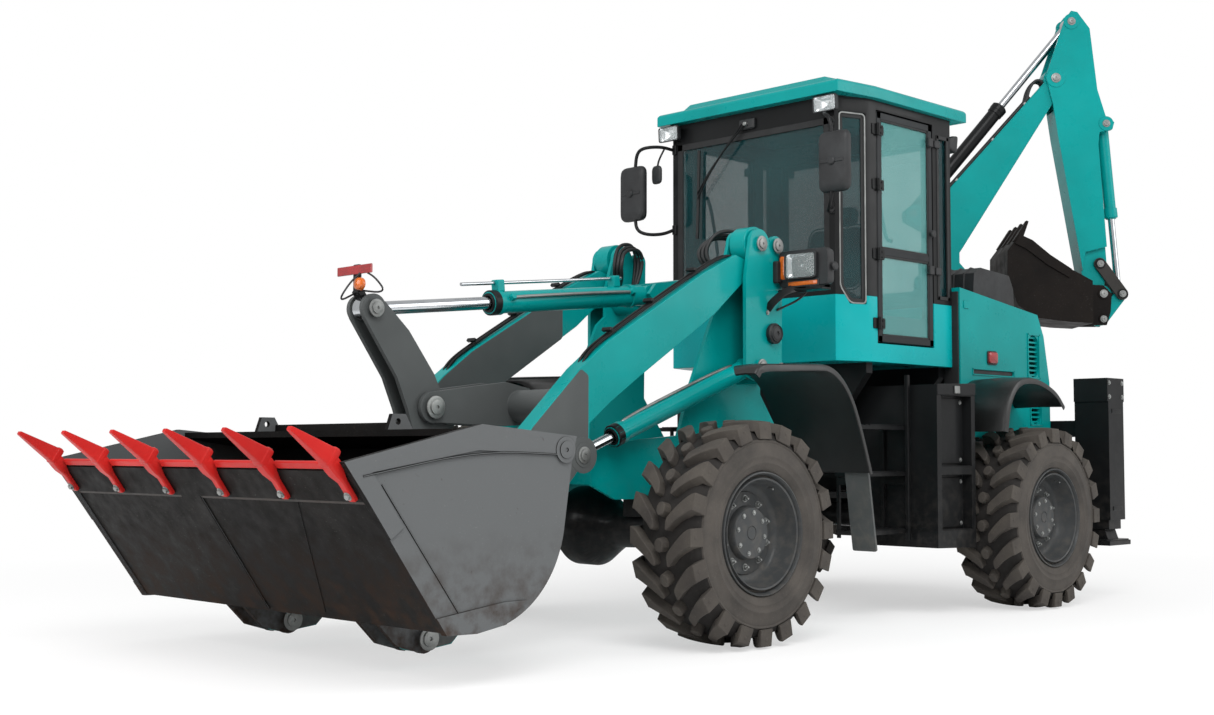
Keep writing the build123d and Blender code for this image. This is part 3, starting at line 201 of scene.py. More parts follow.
def tyre_rubber(name, bare, dusted, speck_colour):
    """Moulded tyre rubber, cured matt, under a film of pale dust that has blown off in places."""
    made, tree, shader, place = start(name)
    dusty = ramp(tree, noise(tree, place, 0.16, 6), 0.3, 0.72)
    shade = mix(tree, dusty, bare, dusted)
    speck = ramp(tree, noise(tree, place, 0.010, 5), 0.6, 0.78, 0.0, 0.45)
    shade = mix(tree, speck, shade, speck_colour)
    tree.links.new(shade, shader.inputs["Base Color"])
    shader.inputs["Roughness"].default_value = 0.82
    shader.inputs["Specular IOR Level"].default_value = 0.35
    bump(tree, shader, noise(tree, place, 0.006, 5), 0.0008, 0.6)
    return made


def plain(name, colour, second, rough, metallic=0.0, grain=0.01, depth=0.0003, coat=0.0):
    """Moulded, plated or rolled surface: two near shades in its grain, and a fine relief."""
    made, tree, shader, place = start(name)
    shade = mix(tree, ramp(tree, noise(tree, place, grain * 12, 5), 0.35, 0.68), colour, second)
    tree.links.new(shade, shader.inputs["Base Color"])
    spread = ramp(tree, noise(tree, place, grain * 5, 5), 0.3, 0.7, rough, min(1.0, rough + 0.12))
    tree.links.new(spread, shader.inputs["Roughness"])
    shader.inputs["Metallic"].default_value = metallic
    shader.inputs["Coat Weight"].default_value = coat
    bump(tree, shader, noise(tree, place, grain, 3), depth, 0.5)
    return made


def window_glass(name, tint, second, alpha, ribs=0.0):
    """Tinted glass or clear moulding: a thin layer that mirrors the studio, with ribs metres wide if set."""
    made, tree, shader, place = start(name)
    shade = mix(tree, ramp(tree, noise(tree, place, 0.5, 3), 0.35, 0.7), tint, second)
    tree.links.new(shade, shader.inputs["Base Color"])
    if ribs:
        spread = add(tree, "Mapping", inputs={"Scale": (1 / ribs,) * 3}, links={"Vector": place})
        flute = add(tree, "TexWave", settings={"bands_direction": "Y"}, inputs={"Scale": 0.31},
                    links={"Vector": spread.outputs["Vector"]}).outputs["Fac"]
        bump(tree, shader, flute, 0.003)
    shader.inputs["Roughness"].default_value = 0.03
    shader.inputs["IOR"].default_value = 1.5
    shader.inputs["Alpha"].default_value = alpha
    shader.inputs["Coat Weight"].default_value = 0.6
    return made


def woven_cloth(name, colour, second, thread=0.004):
    """Woven seat cloth: two sets of threads crossing, drawn coarser than real ones so that they show."""
    made, tree, shader, place = start(name)
    spread = add(tree, "Mapping", inputs={"Scale": (1 / thread,) * 3}, links={"Vector": place})
    bands = [add(tree, "TexWave", settings={"bands_direction": axis}, inputs={"Scale": 1.0},
                 links={"Vector": spread.outputs["Vector"]}).outputs["Fac"] for axis in "YZ"]
    weave = product(tree, *bands)
    shade = mix(tree, weave, colour, second)
    tree.links.new(shade, shader.inputs["Base Color"])
    shader.inputs["Roughness"].default_value = 0.9
    shader.inputs["Sheen Weight"].default_value = 0.3
    bump(tree, shader, weave, 0.001, 0.6)
    return made


# Alkyd enamel, sprayed: glossy but not mirror-like, with a soft sheen on its edges.
TEAL = enamel("sprayed_teal_enamel", "#009290", "#008583", "#4f7570", dust_top=0.9, gloss=0.24)
TEAL_CAB = enamel("sprayed_bright_teal_enamel", "#00a6a9", "#009c9e", "#5f8f88", dust_top=0.6, gloss=0.24)
GREY_PAINT = enamel("sprayed_grey_enamel", "#565959", "#4a4d4d", "#77726a", gloss=0.4, coat=0.15)
BLACK_PAINT = enamel("sprayed_black_enamel", "#111213", "#1a1b1c", "#413d39", gloss=0.34, coat=0.3)
FRAME_PAINT = enamel("sprayed_window_frame_enamel", "#232527", "#2b2d2f", "#4d4a46", gloss=0.38, coat=0.2)
RIM_PAINT = enamel("sprayed_rim_enamel", "#3a3c3d", "#47494a", "#666059", dust_top=1.2, gloss=0.38, coat=0.25)
LINK_PAINT = enamel("sprayed_link_enamel", "#2d2c2b", "#373533", "#5a5047", gloss=0.4, coat=0.2)
RED_PAINT = enamel("sprayed_red_enamel", "#c3231f", "#a81c1a", "#8a5a50", gloss=0.36, coat=0.2)
# Abrasion-resistant plate under thin paint, dirty, with its floor and front darkened to near black as painted
# shade; its sides are a paler lit copy.
BUCKET_STEEL = worn_steel("worn_bucket_plate", "#070606", "#100e0c", "#35261c", "#5d5f60")
# Hardened edge plate, browned by wet ground.
LIP_STEEL = plain("browned_edge_plate", "#1d1611", "#2a1f17", 0.5)
HOE_STEEL = worn_steel("worn_digging_plate", "#141110", "#201b18", "#3d2a1e", "#1e1a18")
# Vulcanised rubber: lugs scuffed pale by the ground; the tread floor between them is darker as painted shade.
RUBBER = tyre_rubber("moulded_tyre_lugs", "#393532", "#4e4943", "#6f675f")
SIDEWALL = tyre_rubber("moulded_tyre_sidewall", "#393633", "#504b46", "#655d56")
SHADED_GROOVE = tyre_rubber("moulded_tyre_grooves", "#1b1918", "#2a2725", "#453f3a")
# Hard chrome on cylinder rods and zinc on bolts and pins.
CHROME = plain("hard_chrome_plate", "#c9cccf", "#b9bdc1", 0.1, metallic=1.0, depth=0.00005)
ZINC = plain("zinc_plated_steel", "#9c9e9c", "#7d7f7e", 0.42, metallic=0.85)
# Injection-moulded plastic, extruded seals and hoses.
FENDER_PLASTIC = plain("moulded_fender_plastic", "#0b0c0c", "#141515", 0.36, grain=0.02, coat=0.12)
BLACK_PLASTIC = plain("grained_black_plastic", "#17181a", "#232527", 0.52)
SEAL_RUBBER = plain("extruded_seal_rubber", "#121314", "#1b1c1d", 0.62)
HOSE_RUBBER = plain("wrapped_hose_rubber", "#141516", "#202122", 0.5)
# Toughened glass, and the lamps' clear and coloured mouldings.
CAB_GLASS = window_glass("tinted_safety_glass", "#164245", "#0f2e32", 0.56)
DOOR_GLASS = window_glass("tinted_door_glass", "#60adab", "#76bbb8", 0.36)
LENS = window_glass("moulded_clear_bulb", "#dfe6e6", "#cfd8d8", 0.35)
RIBBED_LENS = window_glass("moulded_ribbed_lens", "#e6ecec", "#d5dddd", 0.30, ribs=0.010)
REFLECTOR = plain("aluminised_reflector", "#e6e8ea", "#d5d8da", 0.14, metallic=1.0)
AMBER = plain("moulded_amber_lens", "#d96a12", "#b9540d", 0.2, coat=0.6)
RED_LENS = plain("moulded_red_lens", "#a3161b", "#7d1014", 0.2, coat=0.6)
SEAT_CLOTH = woven_cloth("woven_grey_seat_cloth", "#25292b", "#3d4345")
MIRROR_GLASS = plain("silvered_mirror", "#dfe5e8", "#cfd6da", 0.04, metallic=1.0, depth=0.00002)

FINISH = {"body_paint": TEAL, "grey_paint": GREY_PAINT, "bucket_steel": BUCKET_STEEL,
          "tooth_red": RED_PAINT, "black_paint": BLACK_PAINT, "rim_grey": RIM_PAINT,
          "rubber_tyre": RUBBER, "chrome_rod": CHROME, "tinted_glass": CAB_GLASS,
          "black_plastic": BLACK_PLASTIC, "lamp": BLACK_PLASTIC, "seat_fabric": SEAT_CLOTH}
OWN_FINISH = {
    "hoe_bucket": HOE_STEEL, "hoe_bucket_link": TEAL, "guide_link": LINK_PAINT, "cab_tub": TEAL_CAB,
    "cab_roof": TEAL, "hood": TEAL,
}
EDGE = {"cab_glass": 0.0, "door_glass_left": 0.0, "door_glass_right": 0.0, "rear_frame": 0.003}


def round_edges(shown, width, turn):
    """Rounds every edge that turns by more than turn degrees, and shades flat faces flat."""
    rounded = shown.modifiers.new("rounded_edges", "BEVEL")
    rounded.width = width
    rounded.segments = 2
    rounded.limit_method = "ANGLE"
    rounded.angle_limit = radians(turn)
    even = shown.modifiers.new("even_shading", "WEIGHTED_NORMAL")
    even.keep_sharp = True


def finish_node(name, material, edge):
    """Gives a CAD node its finish, and rounds its edges by edge metres."""
    shown = frame["nodes"][name]
    shown.data.materials.clear()
    shown.data.materials.append(material)
    if edge == 0.0:
        return
    shown.data.shade_smooth()
    weld = shown.modifiers.new("merge", "WELD")
    weld.merge_threshold = 0.00002
    flat = shown.modifiers.new("flatten", "DECIMATE")
    flat.decimate_type = "DISSOLVE"
    flat.angle_limit = radians(1.0)
    round_edges(shown, edge, 38)


for part in frame["record"]["subparts"]:
    node_name = part["node"]
    finish_node(node_name, OWN_FINISH.get(node_name, FINISH[part["material_slot"]]),
                EDGE.get(node_name, 0.0035))

# ------------------------------------------------------------------ surfaces
def unit(vector):
    """Vector divided by its length."""
    return np.asarray(vector, float) / np.linalg.norm(vector)


def axes_about(axis):
    """Two directions square to axis and to each other."""
    axis = unit(axis)
    helper = UP if abs(axis[2]) < 0.9 else np.array([1.0, 0.0, 0.0])
    first = unit(np.cross(helper, axis))
    return first, np.cross(axis, first)


def piece(name, body, finish, grids, tube=True, loop=False, caps=True, edge=0.0, smooth=35.0):
    """One mesh of one or more grids of points, [..., rows, columns, 3], with a quad between four neighbours.

    tube joins the last column to the first, loop joins the last row to the first, and caps closes
    the first and last rows. Edges that turn by more than smooth degrees stay sharp, and edge
    rounds them.
    """
    grids = np.asarray(grids, float)
    rows, columns = grids.shape[-3:-1]
    grids = grids.reshape(-1, rows, columns, 3)
    row = np.arange(rows if loop else rows - 1)[:, None]
    column = np.arange(columns if tube else columns - 1)[None, :]
    next_row, next_column = (row + 1) % rows, (column + 1) % columns
    corners = [row * columns + column, row * columns + next_column,
               next_row * columns + next_column, next_row * columns + column]
    quads = np.stack(np.broadcast_arrays(*corners), axis=-1).reshape(-1, 4)
    starts = np.arange(len(grids)) * rows * columns
    faces = (quads[None] + starts[:, None, None]).reshape(-1, 4).tolist()
    if caps and not loop:
        first = np.arange(columns)
        ends = np.stack([first[::-1], first + (rows - 1) * columns])
        faces += (ends[None] + starts[:, None, None]).reshape(-1, columns).tolist()
    mesh = bpy.data.meshes.new(name)
    mesh.from_pydata(grids.reshape(-1, 3).tolist(), [], faces)
    shell = bmesh.new()
    shell.from_mesh(mesh)
    bmesh.ops.remove_doubles(shell, verts=shell.verts, dist=0.00001)
    bmesh.ops.dissolve_degenerate(shell, edges=shell.edges, dist=0.000005)
    bmesh.ops.recalc_face_normals(shell, faces=shell.faces)
    shell.to_mesh(mesh)
    shell.free()
    mesh.shade_smooth()
    mesh.set_sharp_from_angle(angle=radians(smooth))
    mesh.materials.append(finish)
    made = bpy.data.objects.new(name, mesh)
    bpy.context.scene.collection.objects.link(made)
    if edge:
        round_edges(made, edge, 30)
    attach(made, body)
    return made


def circle(radius, steps=24):
    """Ring of points, radius times (cosine, sine)."""
    turn = np.linspace(0, 2 * np.pi, steps, endpoint=False)
    return radius * np.stack([np.cos(turn), np.sin(turn)], axis=-1)


def turned(profile, place, axis, steps=32):
    """Surface of revolution: each (radius, distance) of profile carried round the axis through place."""
    profile = np.asarray(profile, float)
    first, second = axes_about(axis)
    spokes = circle(1.0, steps) @ np.stack([first, second])
    return (np.asarray(place, float) + profile[:, None, 1:2] * unit(axis)
            + profile[:, None, 0:1] * spokes[None])


def softened(outline, cut, steps=5):
    """Closed outline with each corner turned into a parabola from cut before it to cut after it."""
    outline = np.asarray(outline, float)
    before = np.roll(outline, 1, axis=0) - outline
    after = np.roll(outline, -1, axis=0) - outline
    reach_before = np.minimum(cut, 0.45 * np.linalg.norm(before, axis=1))[:, None]
    reach_after = np.minimum(cut, 0.45 * np.linalg.norm(after, axis=1))[:, None]
    come = outline + before / np.linalg.norm(before, axis=1)[:, None] * reach_before
    leave = outline + after / np.linalg.norm(after, axis=1)[:, None] * reach_after
    t = np.linspace(0, 1, steps)[None, :, None]
    arcs = (1 - t) ** 2 * come[:, None] + 2 * t * (1 - t) * outline[:, None] + t ** 2 * leave[:, None]
    return arcs.reshape(-1, 2)


def inset(outline, depth):
    """Closed outline moved inwards by depth along its corners' mitres; outline runs anticlockwise."""
    ahead = np.roll(outline, -1, axis=0) - outline
    ahead = ahead / np.maximum(np.linalg.norm(ahead, axis=1, keepdims=True), 1e-9)
    behind = np.roll(ahead, 1, axis=0)
    normal = np.stack([-(ahead + behind)[:, 1], (ahead + behind)[:, 0]], axis=1)
    size = np.maximum(np.linalg.norm(normal, axis=1, keepdims=True), 1e-9)
    normal = normal / size
    stretch = 1 / np.maximum(np.sum(normal * np.stack([-ahead[:, 1], ahead[:, 0]], axis=1), axis=1), 0.4)
    return outline + normal * stretch[:, None] * depth


def anticlockwise(outline):
    """Closed outline turned so that the area it runs round is positive."""
    outline = np.asarray(outline, float)
    area = np.sum(outline[:, 0] * np.roll(outline[:, 1], -1) - np.roll(outline[:, 0], -1) * outline[:, 1])
    return outline if area > 0 else outline[::-1]


def slab(outline, place, across, upward, thick, bevel=0.002):
    """Plate from an outline in the plane of across and upward at place, thick along their cross product.

    Its rows are the outline drawn in by bevel, the full outline twice, and the outline drawn in again.
    """
    outline = anticlockwise(outline)
    across, upward = unit(across), unit(upward)
    normal = np.cross(across, upward)
    rows = [(inset(outline, bevel), 0.0), (outline, bevel), (outline, thick - bevel),
            (inset(outline, bevel), thick)]
    flat = np.stack([ring for ring, _ in rows])
    lift = np.array([height for _, height in rows])[:, None, None]
    return np.asarray(place, float) + flat[..., 0:1] * across + flat[..., 1:2] * upward + lift * normal


def box(low, high, bevel=0.003, corner=0.006):
    """Block from its lowest and highest corners, its upright edges rounded by corner."""
    low, high = np.minimum(low, high), np.maximum(low, high)
    size = high - low
    outline = softened([(0, 0), (size[0], 0), (size[0], size[1]), (0, size[1])], corner, 4)
    return slab(outline, low, (1, 0, 0), (0, 1, 0), size[2], bevel)


def bent(points, rounds=3):
    """Line through given points with its corners cut off again and again, which rounds it."""
    line = np.asarray(points, float)
    for _ in range(rounds):
        near = line[:-1] * 0.75 + line[1:] * 0.25
        far = line[:-1] * 0.25 + line[1:] * 0.75
        line = np.concatenate([line[:1], np.stack([near, far], axis=1).reshape(-1, 3), line[-1:]])
    return line


def carried(path, ring, upward=UP):
    """A ring of (side, height) points carried along a path, square to it and with its height near upward."""
    path = np.asarray(path, float)
    ahead = np.gradient(path, axis=0)
    ahead = ahead / np.linalg.norm(ahead, axis=1, keepdims=True)
    side = np.cross(upward, ahead)
    side = side / np.maximum(np.linalg.norm(side, axis=1, keepdims=True), 1e-9)
    top = np.cross(ahead, side)
    ring = np.asarray(ring, float)
    return path[:, None] + side[:, None] * ring[..., 0:1] + top[:, None] * ring[..., 1:2]


def hose(name, body, points, radius=0.009, finish=None, upward=(0.31, 0.17, 0.93)):
    """Round hose, pipe or bent bar along a rounded line."""
    return piece(name, body, finish or HOSE_RUBBER, carried(bent(points), circle(radius, 10),
                                                            unit(upward)), smooth=60)


def bolts(name, body, places, axis, radius=0.012, height=0.009, finish=None):
    """Hexagon heads on washers: rings of six points and of wider ones, at each place, along axis."""
    places = np.asarray(places, float).reshape(-1, 3)
    head = [(radius, 0.0), (radius, height * 0.8), (radius * 0.82, height), (0.0, height)]
    washer = [(radius * 1.45, 0.0), (radius * 1.45, height * 0.2), (0.0, height * 0.2)]
    zero = np.zeros(3)
    piece(name, body, finish or ZINC, places[:, None, None] + turned(head, zero, axis, 6), smooth=25)
    piece(name + "_washers", body, finish or ZINC, places[:, None, None] + turned(washer, zero, axis, 16),
          smooth=25)


def pin_heads(name, body, places, axis, radius=0.034, proud=0.016, finish=None):
    """Turned pin heads with a chamfer and a centre drilling, one at each place, facing along axis."""
    profile = [(radius * 1.5, 0.0), (radius * 1.5, proud * 0.35), (radius * 1.4, proud * 0.45),
               (radius, proud * 0.45), (radius, proud * 0.9), (radius * 0.88, proud),
               (radius * 0.25, proud), (radius * 0.2, proud * 0.6), (0.0, proud * 0.6)]
    places = np.asarray(places, float).reshape(-1, 3)
    return piece(name, body, finish or ZINC,
                 places[:, None, None] + turned(profile, np.zeros(3), axis, 24), smooth=30)


# ------------------------------------------------------------------ wheels
TYRE_R = 0.540
WHEEL_Y = 0.9865
LUGS = 20
LUG_SWEEP = 0.72               # how far a lug's inner end leads its shoulder, in pitches
CARCASS = (                    # radius, distance from the wheel's middle plane
    (0.286, 0.150), (0.290, 0.165), (0.302, 0.178), (0.330, 0.1875), (0.334, 0.1905), (0.338, 0.1905),
    (0.342, 0.188), (0.360, 0.192), (0.366, 0.1955), (0.372, 0.1955), (0.376, 0.192), (0.410, 0.190),
    (0.432, 0.184), (0.436, 0.1875), (0.442, 0.1875), (0.446, 0.180), (0.462, 0.168), (0.480, 0.153),
    (0.490, 0.130), (0.495, 0.100), (0.497, 0.050), (0.497, 0.0),
)
SIDEWALL_ROWS = 16
RIM_PROFILE = (                # the same, for the rim from its outer lip in to the hub cap
    (0.262, -0.150), (0.293, -0.176), (0.288, -0.182), (0.281, -0.178), (0.262, -0.150), (0.262, 0.130),
    (0.276, 0.148), (0.281, 0.176), (0.286, 0.184), (0.292, 0.182), (0.294, 0.172), (0.286, 0.150),
    (0.270, 0.150), (0.264, 0.176), (0.256, 0.172), (0.251, 0.142), (0.243, 0.120), (0.238, 0.070),
    (0.228, 0.060), (0.222, 0.056), (0.200, 0.052), (0.196, 0.060), (0.180, 0.062), (0.138, 0.062),
    (0.130, 0.066), (0.126, 0.096), (0.119, 0.103), (0.036, 0.105), (0.034, 0.1015), (0.030, 0.1015),
    (0.028, 0.105), (0.0, 0.105),
)


def wheel_surface(angle, distance, radius, centre, side):
    """Points from angle round the axle, distance from the middle plane outwards and radius, as arrays."""
    return np.stack([centre[0] + radius * np.cos(angle), centre[1] + side * distance + 0 * angle,
                     centre[2] + radius * np.sin(angle)], axis=-1)


def tyre_lugs(centre, side, half):
    """Bars swept from near the tread's middle to the shoulder, one per pitch.

    Along a bar, its angle falls back from the shoulder as a power of the distance left, its top
    follows the crown of the tread, and its root lies under the carcass. Across, it is a
    trapezium that is round at the inner end.
    """
    along = np.array([0.0, 0.03, 0.08, 0.16, 0.3, 0.45, 0.6, 0.75, 0.88, 0.96, 1.0])
    distance = 0.036 + along * (0.187 - 0.036)
    lag = -LUG_SWEEP * (1 - along) ** 1.35
    width = 0.38 + 0.12 * np.clip(along / 0.8, 0, 1) ** 2
    width = width * np.sqrt(np.clip(along / 0.085, 0.12, 1.0))
    top = TYRE_R - 0.010 * (distance / 0.187) ** 3
    top[0] -= 0.006
    root = np.where(along > 0.9, 0.448, 0.484)
    pitch = 2 * np.pi / LUGS
    middle = (np.arange(LUGS)[:, None] + lag[None]) * pitch
    spread = np.array([-0.62, -0.5, 0.5, 0.62]) * pitch
    angle = middle[..., None] + width[None, :, None] * spread
    tops = np.stack([root, top, top, root], axis=-1)
    distances = np.stack([distance, distance - 0.002 * along, distance - 0.002 * along, distance], axis=-1)
    distances[-1] = [0.197, 0.190, 0.190, 0.197]
    radius = np.broadcast_to(tops, angle.shape)
    return wheel_surface(angle, half * np.broadcast_to(distances, angle.shape), radius, centre, side)


def tyre_knobs(centre, side):
    """Round studs along the tread's middle, between the lugs: rings that narrow towards their tops."""
    pitch = 2 * np.pi / LUGS
    ring = circle(1.0, 10)
    size = np.array([0.040, 0.034, 0.031])
    radius = np.array([0.486, TYRE_R - 0.005, TYRE_R])
    middle = (np.arange(LUGS) - LUG_SWEEP + 0.48) * pitch
    angle = middle[:, None, None] + size[None, :, None] * ring[None, None, :, 0] / TYRE_R
    distance = size[None, :, None] * ring[None, None, :, 1] * 0.8 + 0 * angle
    return wheel_surface(angle, distance, radius[None, :, None] + 0 * angle, centre, side)


def wheel(name, centre, side):
    """Tyre of two walls, a floor, lugs and studs on a rim: (radius, distance) rows swept round the axle."""
    body = "wheel_" + name
    profile = np.array(CARCASS)
    angle = np.linspace(0, 2 * np.pi, 120, endpoint=False)[None]
    walls = [wheel_surface(angle, half * profile[:SIDEWALL_ROWS, 1:2], profile[:SIDEWALL_ROWS, 0:1],
                           centre, side) for half in (1, -1)]
    carcass = piece("tyre_sidewalls_" + name, body, SIDEWALL, walls, caps=False, smooth=50)
    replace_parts(carcass, "tyre_" + name)
    floor = profile[SIDEWALL_ROWS - 1:]
    floor = np.concatenate([floor, (floor * [1, -1])[::-1][1:]])
    between = wheel_surface(angle, floor[:, 1:2], floor[:, 0:1], centre, side)
    # the tread floor between the lugs: darker than the lugs as painted shade
    piece("tyre_tread_floor_" + name, body, SHADED_GROOVE, between, caps=False, smooth=50)
    seat = wheel_surface(angle, np.array([[0.150], [0.155], [-0.155], [-0.150]]),
                         np.array([[0.286], [0.266], [0.266], [0.286]]), centre, side)
    piece("tyre_beads_" + name, body, SIDEWALL, seat, caps=False, smooth=50)
    both = np.concatenate([tyre_lugs(centre, side, 1), tyre_lugs(centre, side, -1)])
    piece("tyre_lugs_" + name, body, RUBBER, both, edge=0.004)
    piece("tyre_studs_" + name, body, RUBBER, tyre_knobs(centre, side), edge=0.003)
    dimple = [(0.011, 0.0), (0.008, 0.0018), (0.0, 0.0022)]
    around = np.arange(LUGS) * 2 * np.pi / LUGS
    spots = wheel_surface(around, np.full(LUGS, 0.1925), np.full(LUGS, 0.496), centre, side)
    piece("tyre_wear_marks_" + name, body, RUBBER,
          spots[:, None, None] + turned(dimple, np.zeros(3), (0, side, 0), 12))

    profile = np.array(RIM_PROFILE)
    rim = piece("rim_dish_" + name, body, RIM_PAINT, turned(profile, centre, (0, side, 0), 64), smooth=40)
    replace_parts(rim, "rim_" + name)
    outward = (0, side, 0)
    ten = (np.arange(10) + 0.5) * 2 * np.pi / 10
    eight = np.arange(8) * 2 * np.pi / 8 + 0.2
    nuts = wheel_surface(ten, np.full(10, 0.061), np.full(10, 0.163), centre, side)
    bolts("wheel_nuts_" + name, body, nuts, outward, 0.0125, 0.016, ZINC)
    studs = nuts + np.array(outward) * 0.014
    piece("wheel_studs_" + name, body, ZINC, studs[:, None, None] + turned(
        [(0.0065, 0.0), (0.0065, 0.010), (0.0045, 0.012), (0.0, 0.012)], np.zeros(3), outward, 10))
    small = wheel_surface(eight, np.full(8, 0.104), np.full(8, 0.098), centre, side)
    bolts("hub_bolts_" + name, body, small, outward, 0.0085, 0.007, ZINC)
    valve = wheel_surface(np.array([2.0, 2.0]), np.array([0.128, 0.160]), np.array([0.236, 0.228]),
                          centre, side)
    piece("tyre_valve_" + name, body, ZINC, carried(valve, circle(0.004, 10), (0.3, 0.1, 0.9)))


for wheel_name in WHEELS:
    hub = joint_point(f"wheel_{wheel_name}_spin")
    wheel(wheel_name, np.array([hub[0], np.sign(hub[1]) * WHEEL_Y, hub[2]]), np.sign(hub[1]))

# ------------------------------------------------------------------ shapes that the trim shares
def stacked(rings, lifts, place, across, upward):
    """Flat rings of (across, upward) points at place, each lifted along the two directions' cross product."""
    across, upward = unit(across), unit(upward)
    rings = np.stack([np.asarray(ring, float) for ring in rings])
    lifts = np.asarray(lifts, float)[:, None, None] * np.cross(across, upward)
    return np.asarray(place, float) + rings[..., 0:1] * across + rings[..., 1:2] * upward + lifts


def ring_frame(outline, place, across, upward, wide, thick, cut=0.02, bevel=0.0015):
    """Flat ring between a rounded outline and the same drawn in by wide."""
    outer = softened(anticlockwise(outline), cut, 6)
    steps = ((0, 0), (0, thick - bevel), (bevel, thick), (wide - bevel, thick), (wide, thick - bevel),
             (wide, 0))
    return stacked([inset(outer, depth) for depth, _ in steps], [lift for _, lift in steps], place,
                   across, upward)


def swell(outline, steps, place, across, upward):
    """Rings that are scaled copies of a closed outline about its middle: steps hold (scale, lift)."""
    outline = anticlockwise(outline)
    middle = outline.mean(axis=0)
    rings = [middle + (outline - middle) * scale for scale, _ in steps]
    return stacked(rings, [lift for _, lift in steps], place, across, upward)


def oblong(wide, high, cut=0.02, middle=(0.0, 0.0)):
    """Rectangle with rounded corners."""
    corners = np.array([(-wide, -high), (wide, -high), (wide, high), (-wide, high)]) / 2 + middle
    return softened(corners, cut, 5)


def rectangle(x_low, z_low, x_high, z_high):
    """Corners of an upright rectangle, anticlockwise."""
    return [(x_low, z_low), (x_high, z_low), (x_high, z_high), (x_low, z_high)]


def mirrored(side, *points):
    """Points given on the machine's left, on the side asked for."""
    return [at(x, side * y, z) for x, y, z in points]


def side_plate(name, body, finish, outline, y, thick, side, cut=0.0, bevel=0.002):
    """Plate from an (x, z) outline that stands at side * y and grows away from the middle."""
    outline = softened(outline, cut, 4) if cut else np.array(outline, float)
    return piece(name, body, finish, slab(outline * [-side, 1], at(0, side * y, 0), (-side, 0, 0), UP,
                                          thick, bevel))


def bars(name, body, finish, spans, bevel=0.0015, corner=0.003):
    """Several rounded blocks in one mesh, each from its lowest and highest corner."""
    return piece(name, body, finish, [box(low, high, bevel, corner) for low, high in spans])


def square_lamp(name, body, place, aim, wide, high, deep, back=0.55):
    """Work lamp: a moulded shell that swells to its lip, a mirrored bowl and bulb, and a ribbed lens."""
    aim = unit(aim)
    across = unit(np.cross(UP, aim))
    upward = np.cross(aim, across)
    outline = oblong(wide, high, min(wide, high) * 0.16)
    shell = ((0.001, -deep), (back * 0.92, -deep), (back, -deep * 0.95), (0.92, -deep * 0.5),
             (0.98, -deep * 0.22), (1.0, -0.010), (1.0, -0.002), (0.985, 0.0), (0.915, 0.0),
             (0.90, -0.006))
    piece(name + "_shell", body, BLACK_PLASTIC, swell(outline, shell, place, across, upward), caps=False,
          smooth=28)
    bowl = ((0.905, -0.006), (0.88, -0.018), (0.70, -deep * 0.45), (0.40, -deep * 0.62),
            (0.001, -deep * 0.66))
    piece(name + "_bowl", body, REFLECTOR, swell(outline, bowl, place, across, upward), caps=False, smooth=60)
    bulb = [(0.0, 0.022), (0.006, 0.020), (0.009, 0.010), (0.009, -0.012), (0.0, -0.012)]
    piece(name + "_bulb", body, LENS, turned(bulb, np.asarray(place, float) - aim * deep * 0.45, aim, 16),
          smooth=60)
    cover = ((0.902, -0.005), (0.89, -0.0015), (0.62, 0.002), (0.3, 0.0035), (0.001, 0.004))
    piece(name + "_lens", body, RIBBED_LENS, swell(outline, cover, place, across, upward), caps=False,
          smooth=60)


def marker(name, body, place, across, upward, wide, high, finish, proud=0.014):
    """Moulded marker lens with a crowned face in a low black surround."""
    outline = oblong(wide, high, min(wide, high) * 0.25)
    dome = ((1.0, 0.0), (1.0, proud * 0.6), (0.94, proud * 0.85), (0.7, proud), (0.001, proud * 1.05))
    piece(name, body, finish, swell(outline, dome, place, across, upward), caps=False, smooth=40)
    rim = oblong(wide + 0.016, high + 0.016, min(wide, high) * 0.3)
    rings = [rim, rim, inset(rim, 0.0015), inset(rim, 0.0088), inset(rim, 0.0088)]
    surround = stacked(rings, [0.0, 0.006, 0.0075, 0.0075, 0.0], place, across, upward)
    piece(name + "_rim", body, BLACK_PLASTIC, surround, loop=True)


# ------------------------------------------------------------------ loader bucket
BUCKET_HALF = 1.186
# Pins of the loader as (x, z), x from the articulation hinge.
ARM_PIVOT, ARM_STOP = (0.699, 2.037), (0.563, 2.037)
LIFT_BASE, LIFT_EYE = (0.699, 1.381), (1.968, 0.909)
TILT_PIN, CRANK_TOP_PIN = (0.960, 1.784), (2.825, 1.583)
CRANK_PIVOT, CRANK_LOW_PIN = (2.500, 1.133), (2.430, 0.800)
LINK_EAR, BUCKET_HINGE = (2.580, 0.650), (2.935, 0.133)
# Along Y: an arm's outer face and middle, and a tower's outer face.
ARM_FACE, ARM_MIDDLE, TOWER_FACE = 0.5625, 0.514, 0.614
PLATE_GAP = 0.0975             # between an arm's outer grey plate and its inner one
LIP_Y = (-1.112, -0.667, -0.222, 0.222, 0.667, 1.112)
LIP_LINE = (at(3.653, 0, 0.744), at(3.7508, 0, 0.881))     # front face of the floor plate where the teeth sit
LIP_OUT = unit(np.cross((0, 1, 0), LIP_LINE[1] - LIP_LINE[0]))
LIP_UP = unit(LIP_LINE[1] - LIP_LINE[0])


def pin_at(pin, y):
    """Place of one of the loader's pins, at y across the machine."""
    return at(pin[0], y, pin[1])


def on_lip(y, up, out=0.0):
    """Point on the floor plate's front face: up from the legs' lower end, out of the plate."""
    return LIP_LINE[0] + LIP_UP * up + LIP_OUT * out + np.array([0, y, 0.0])


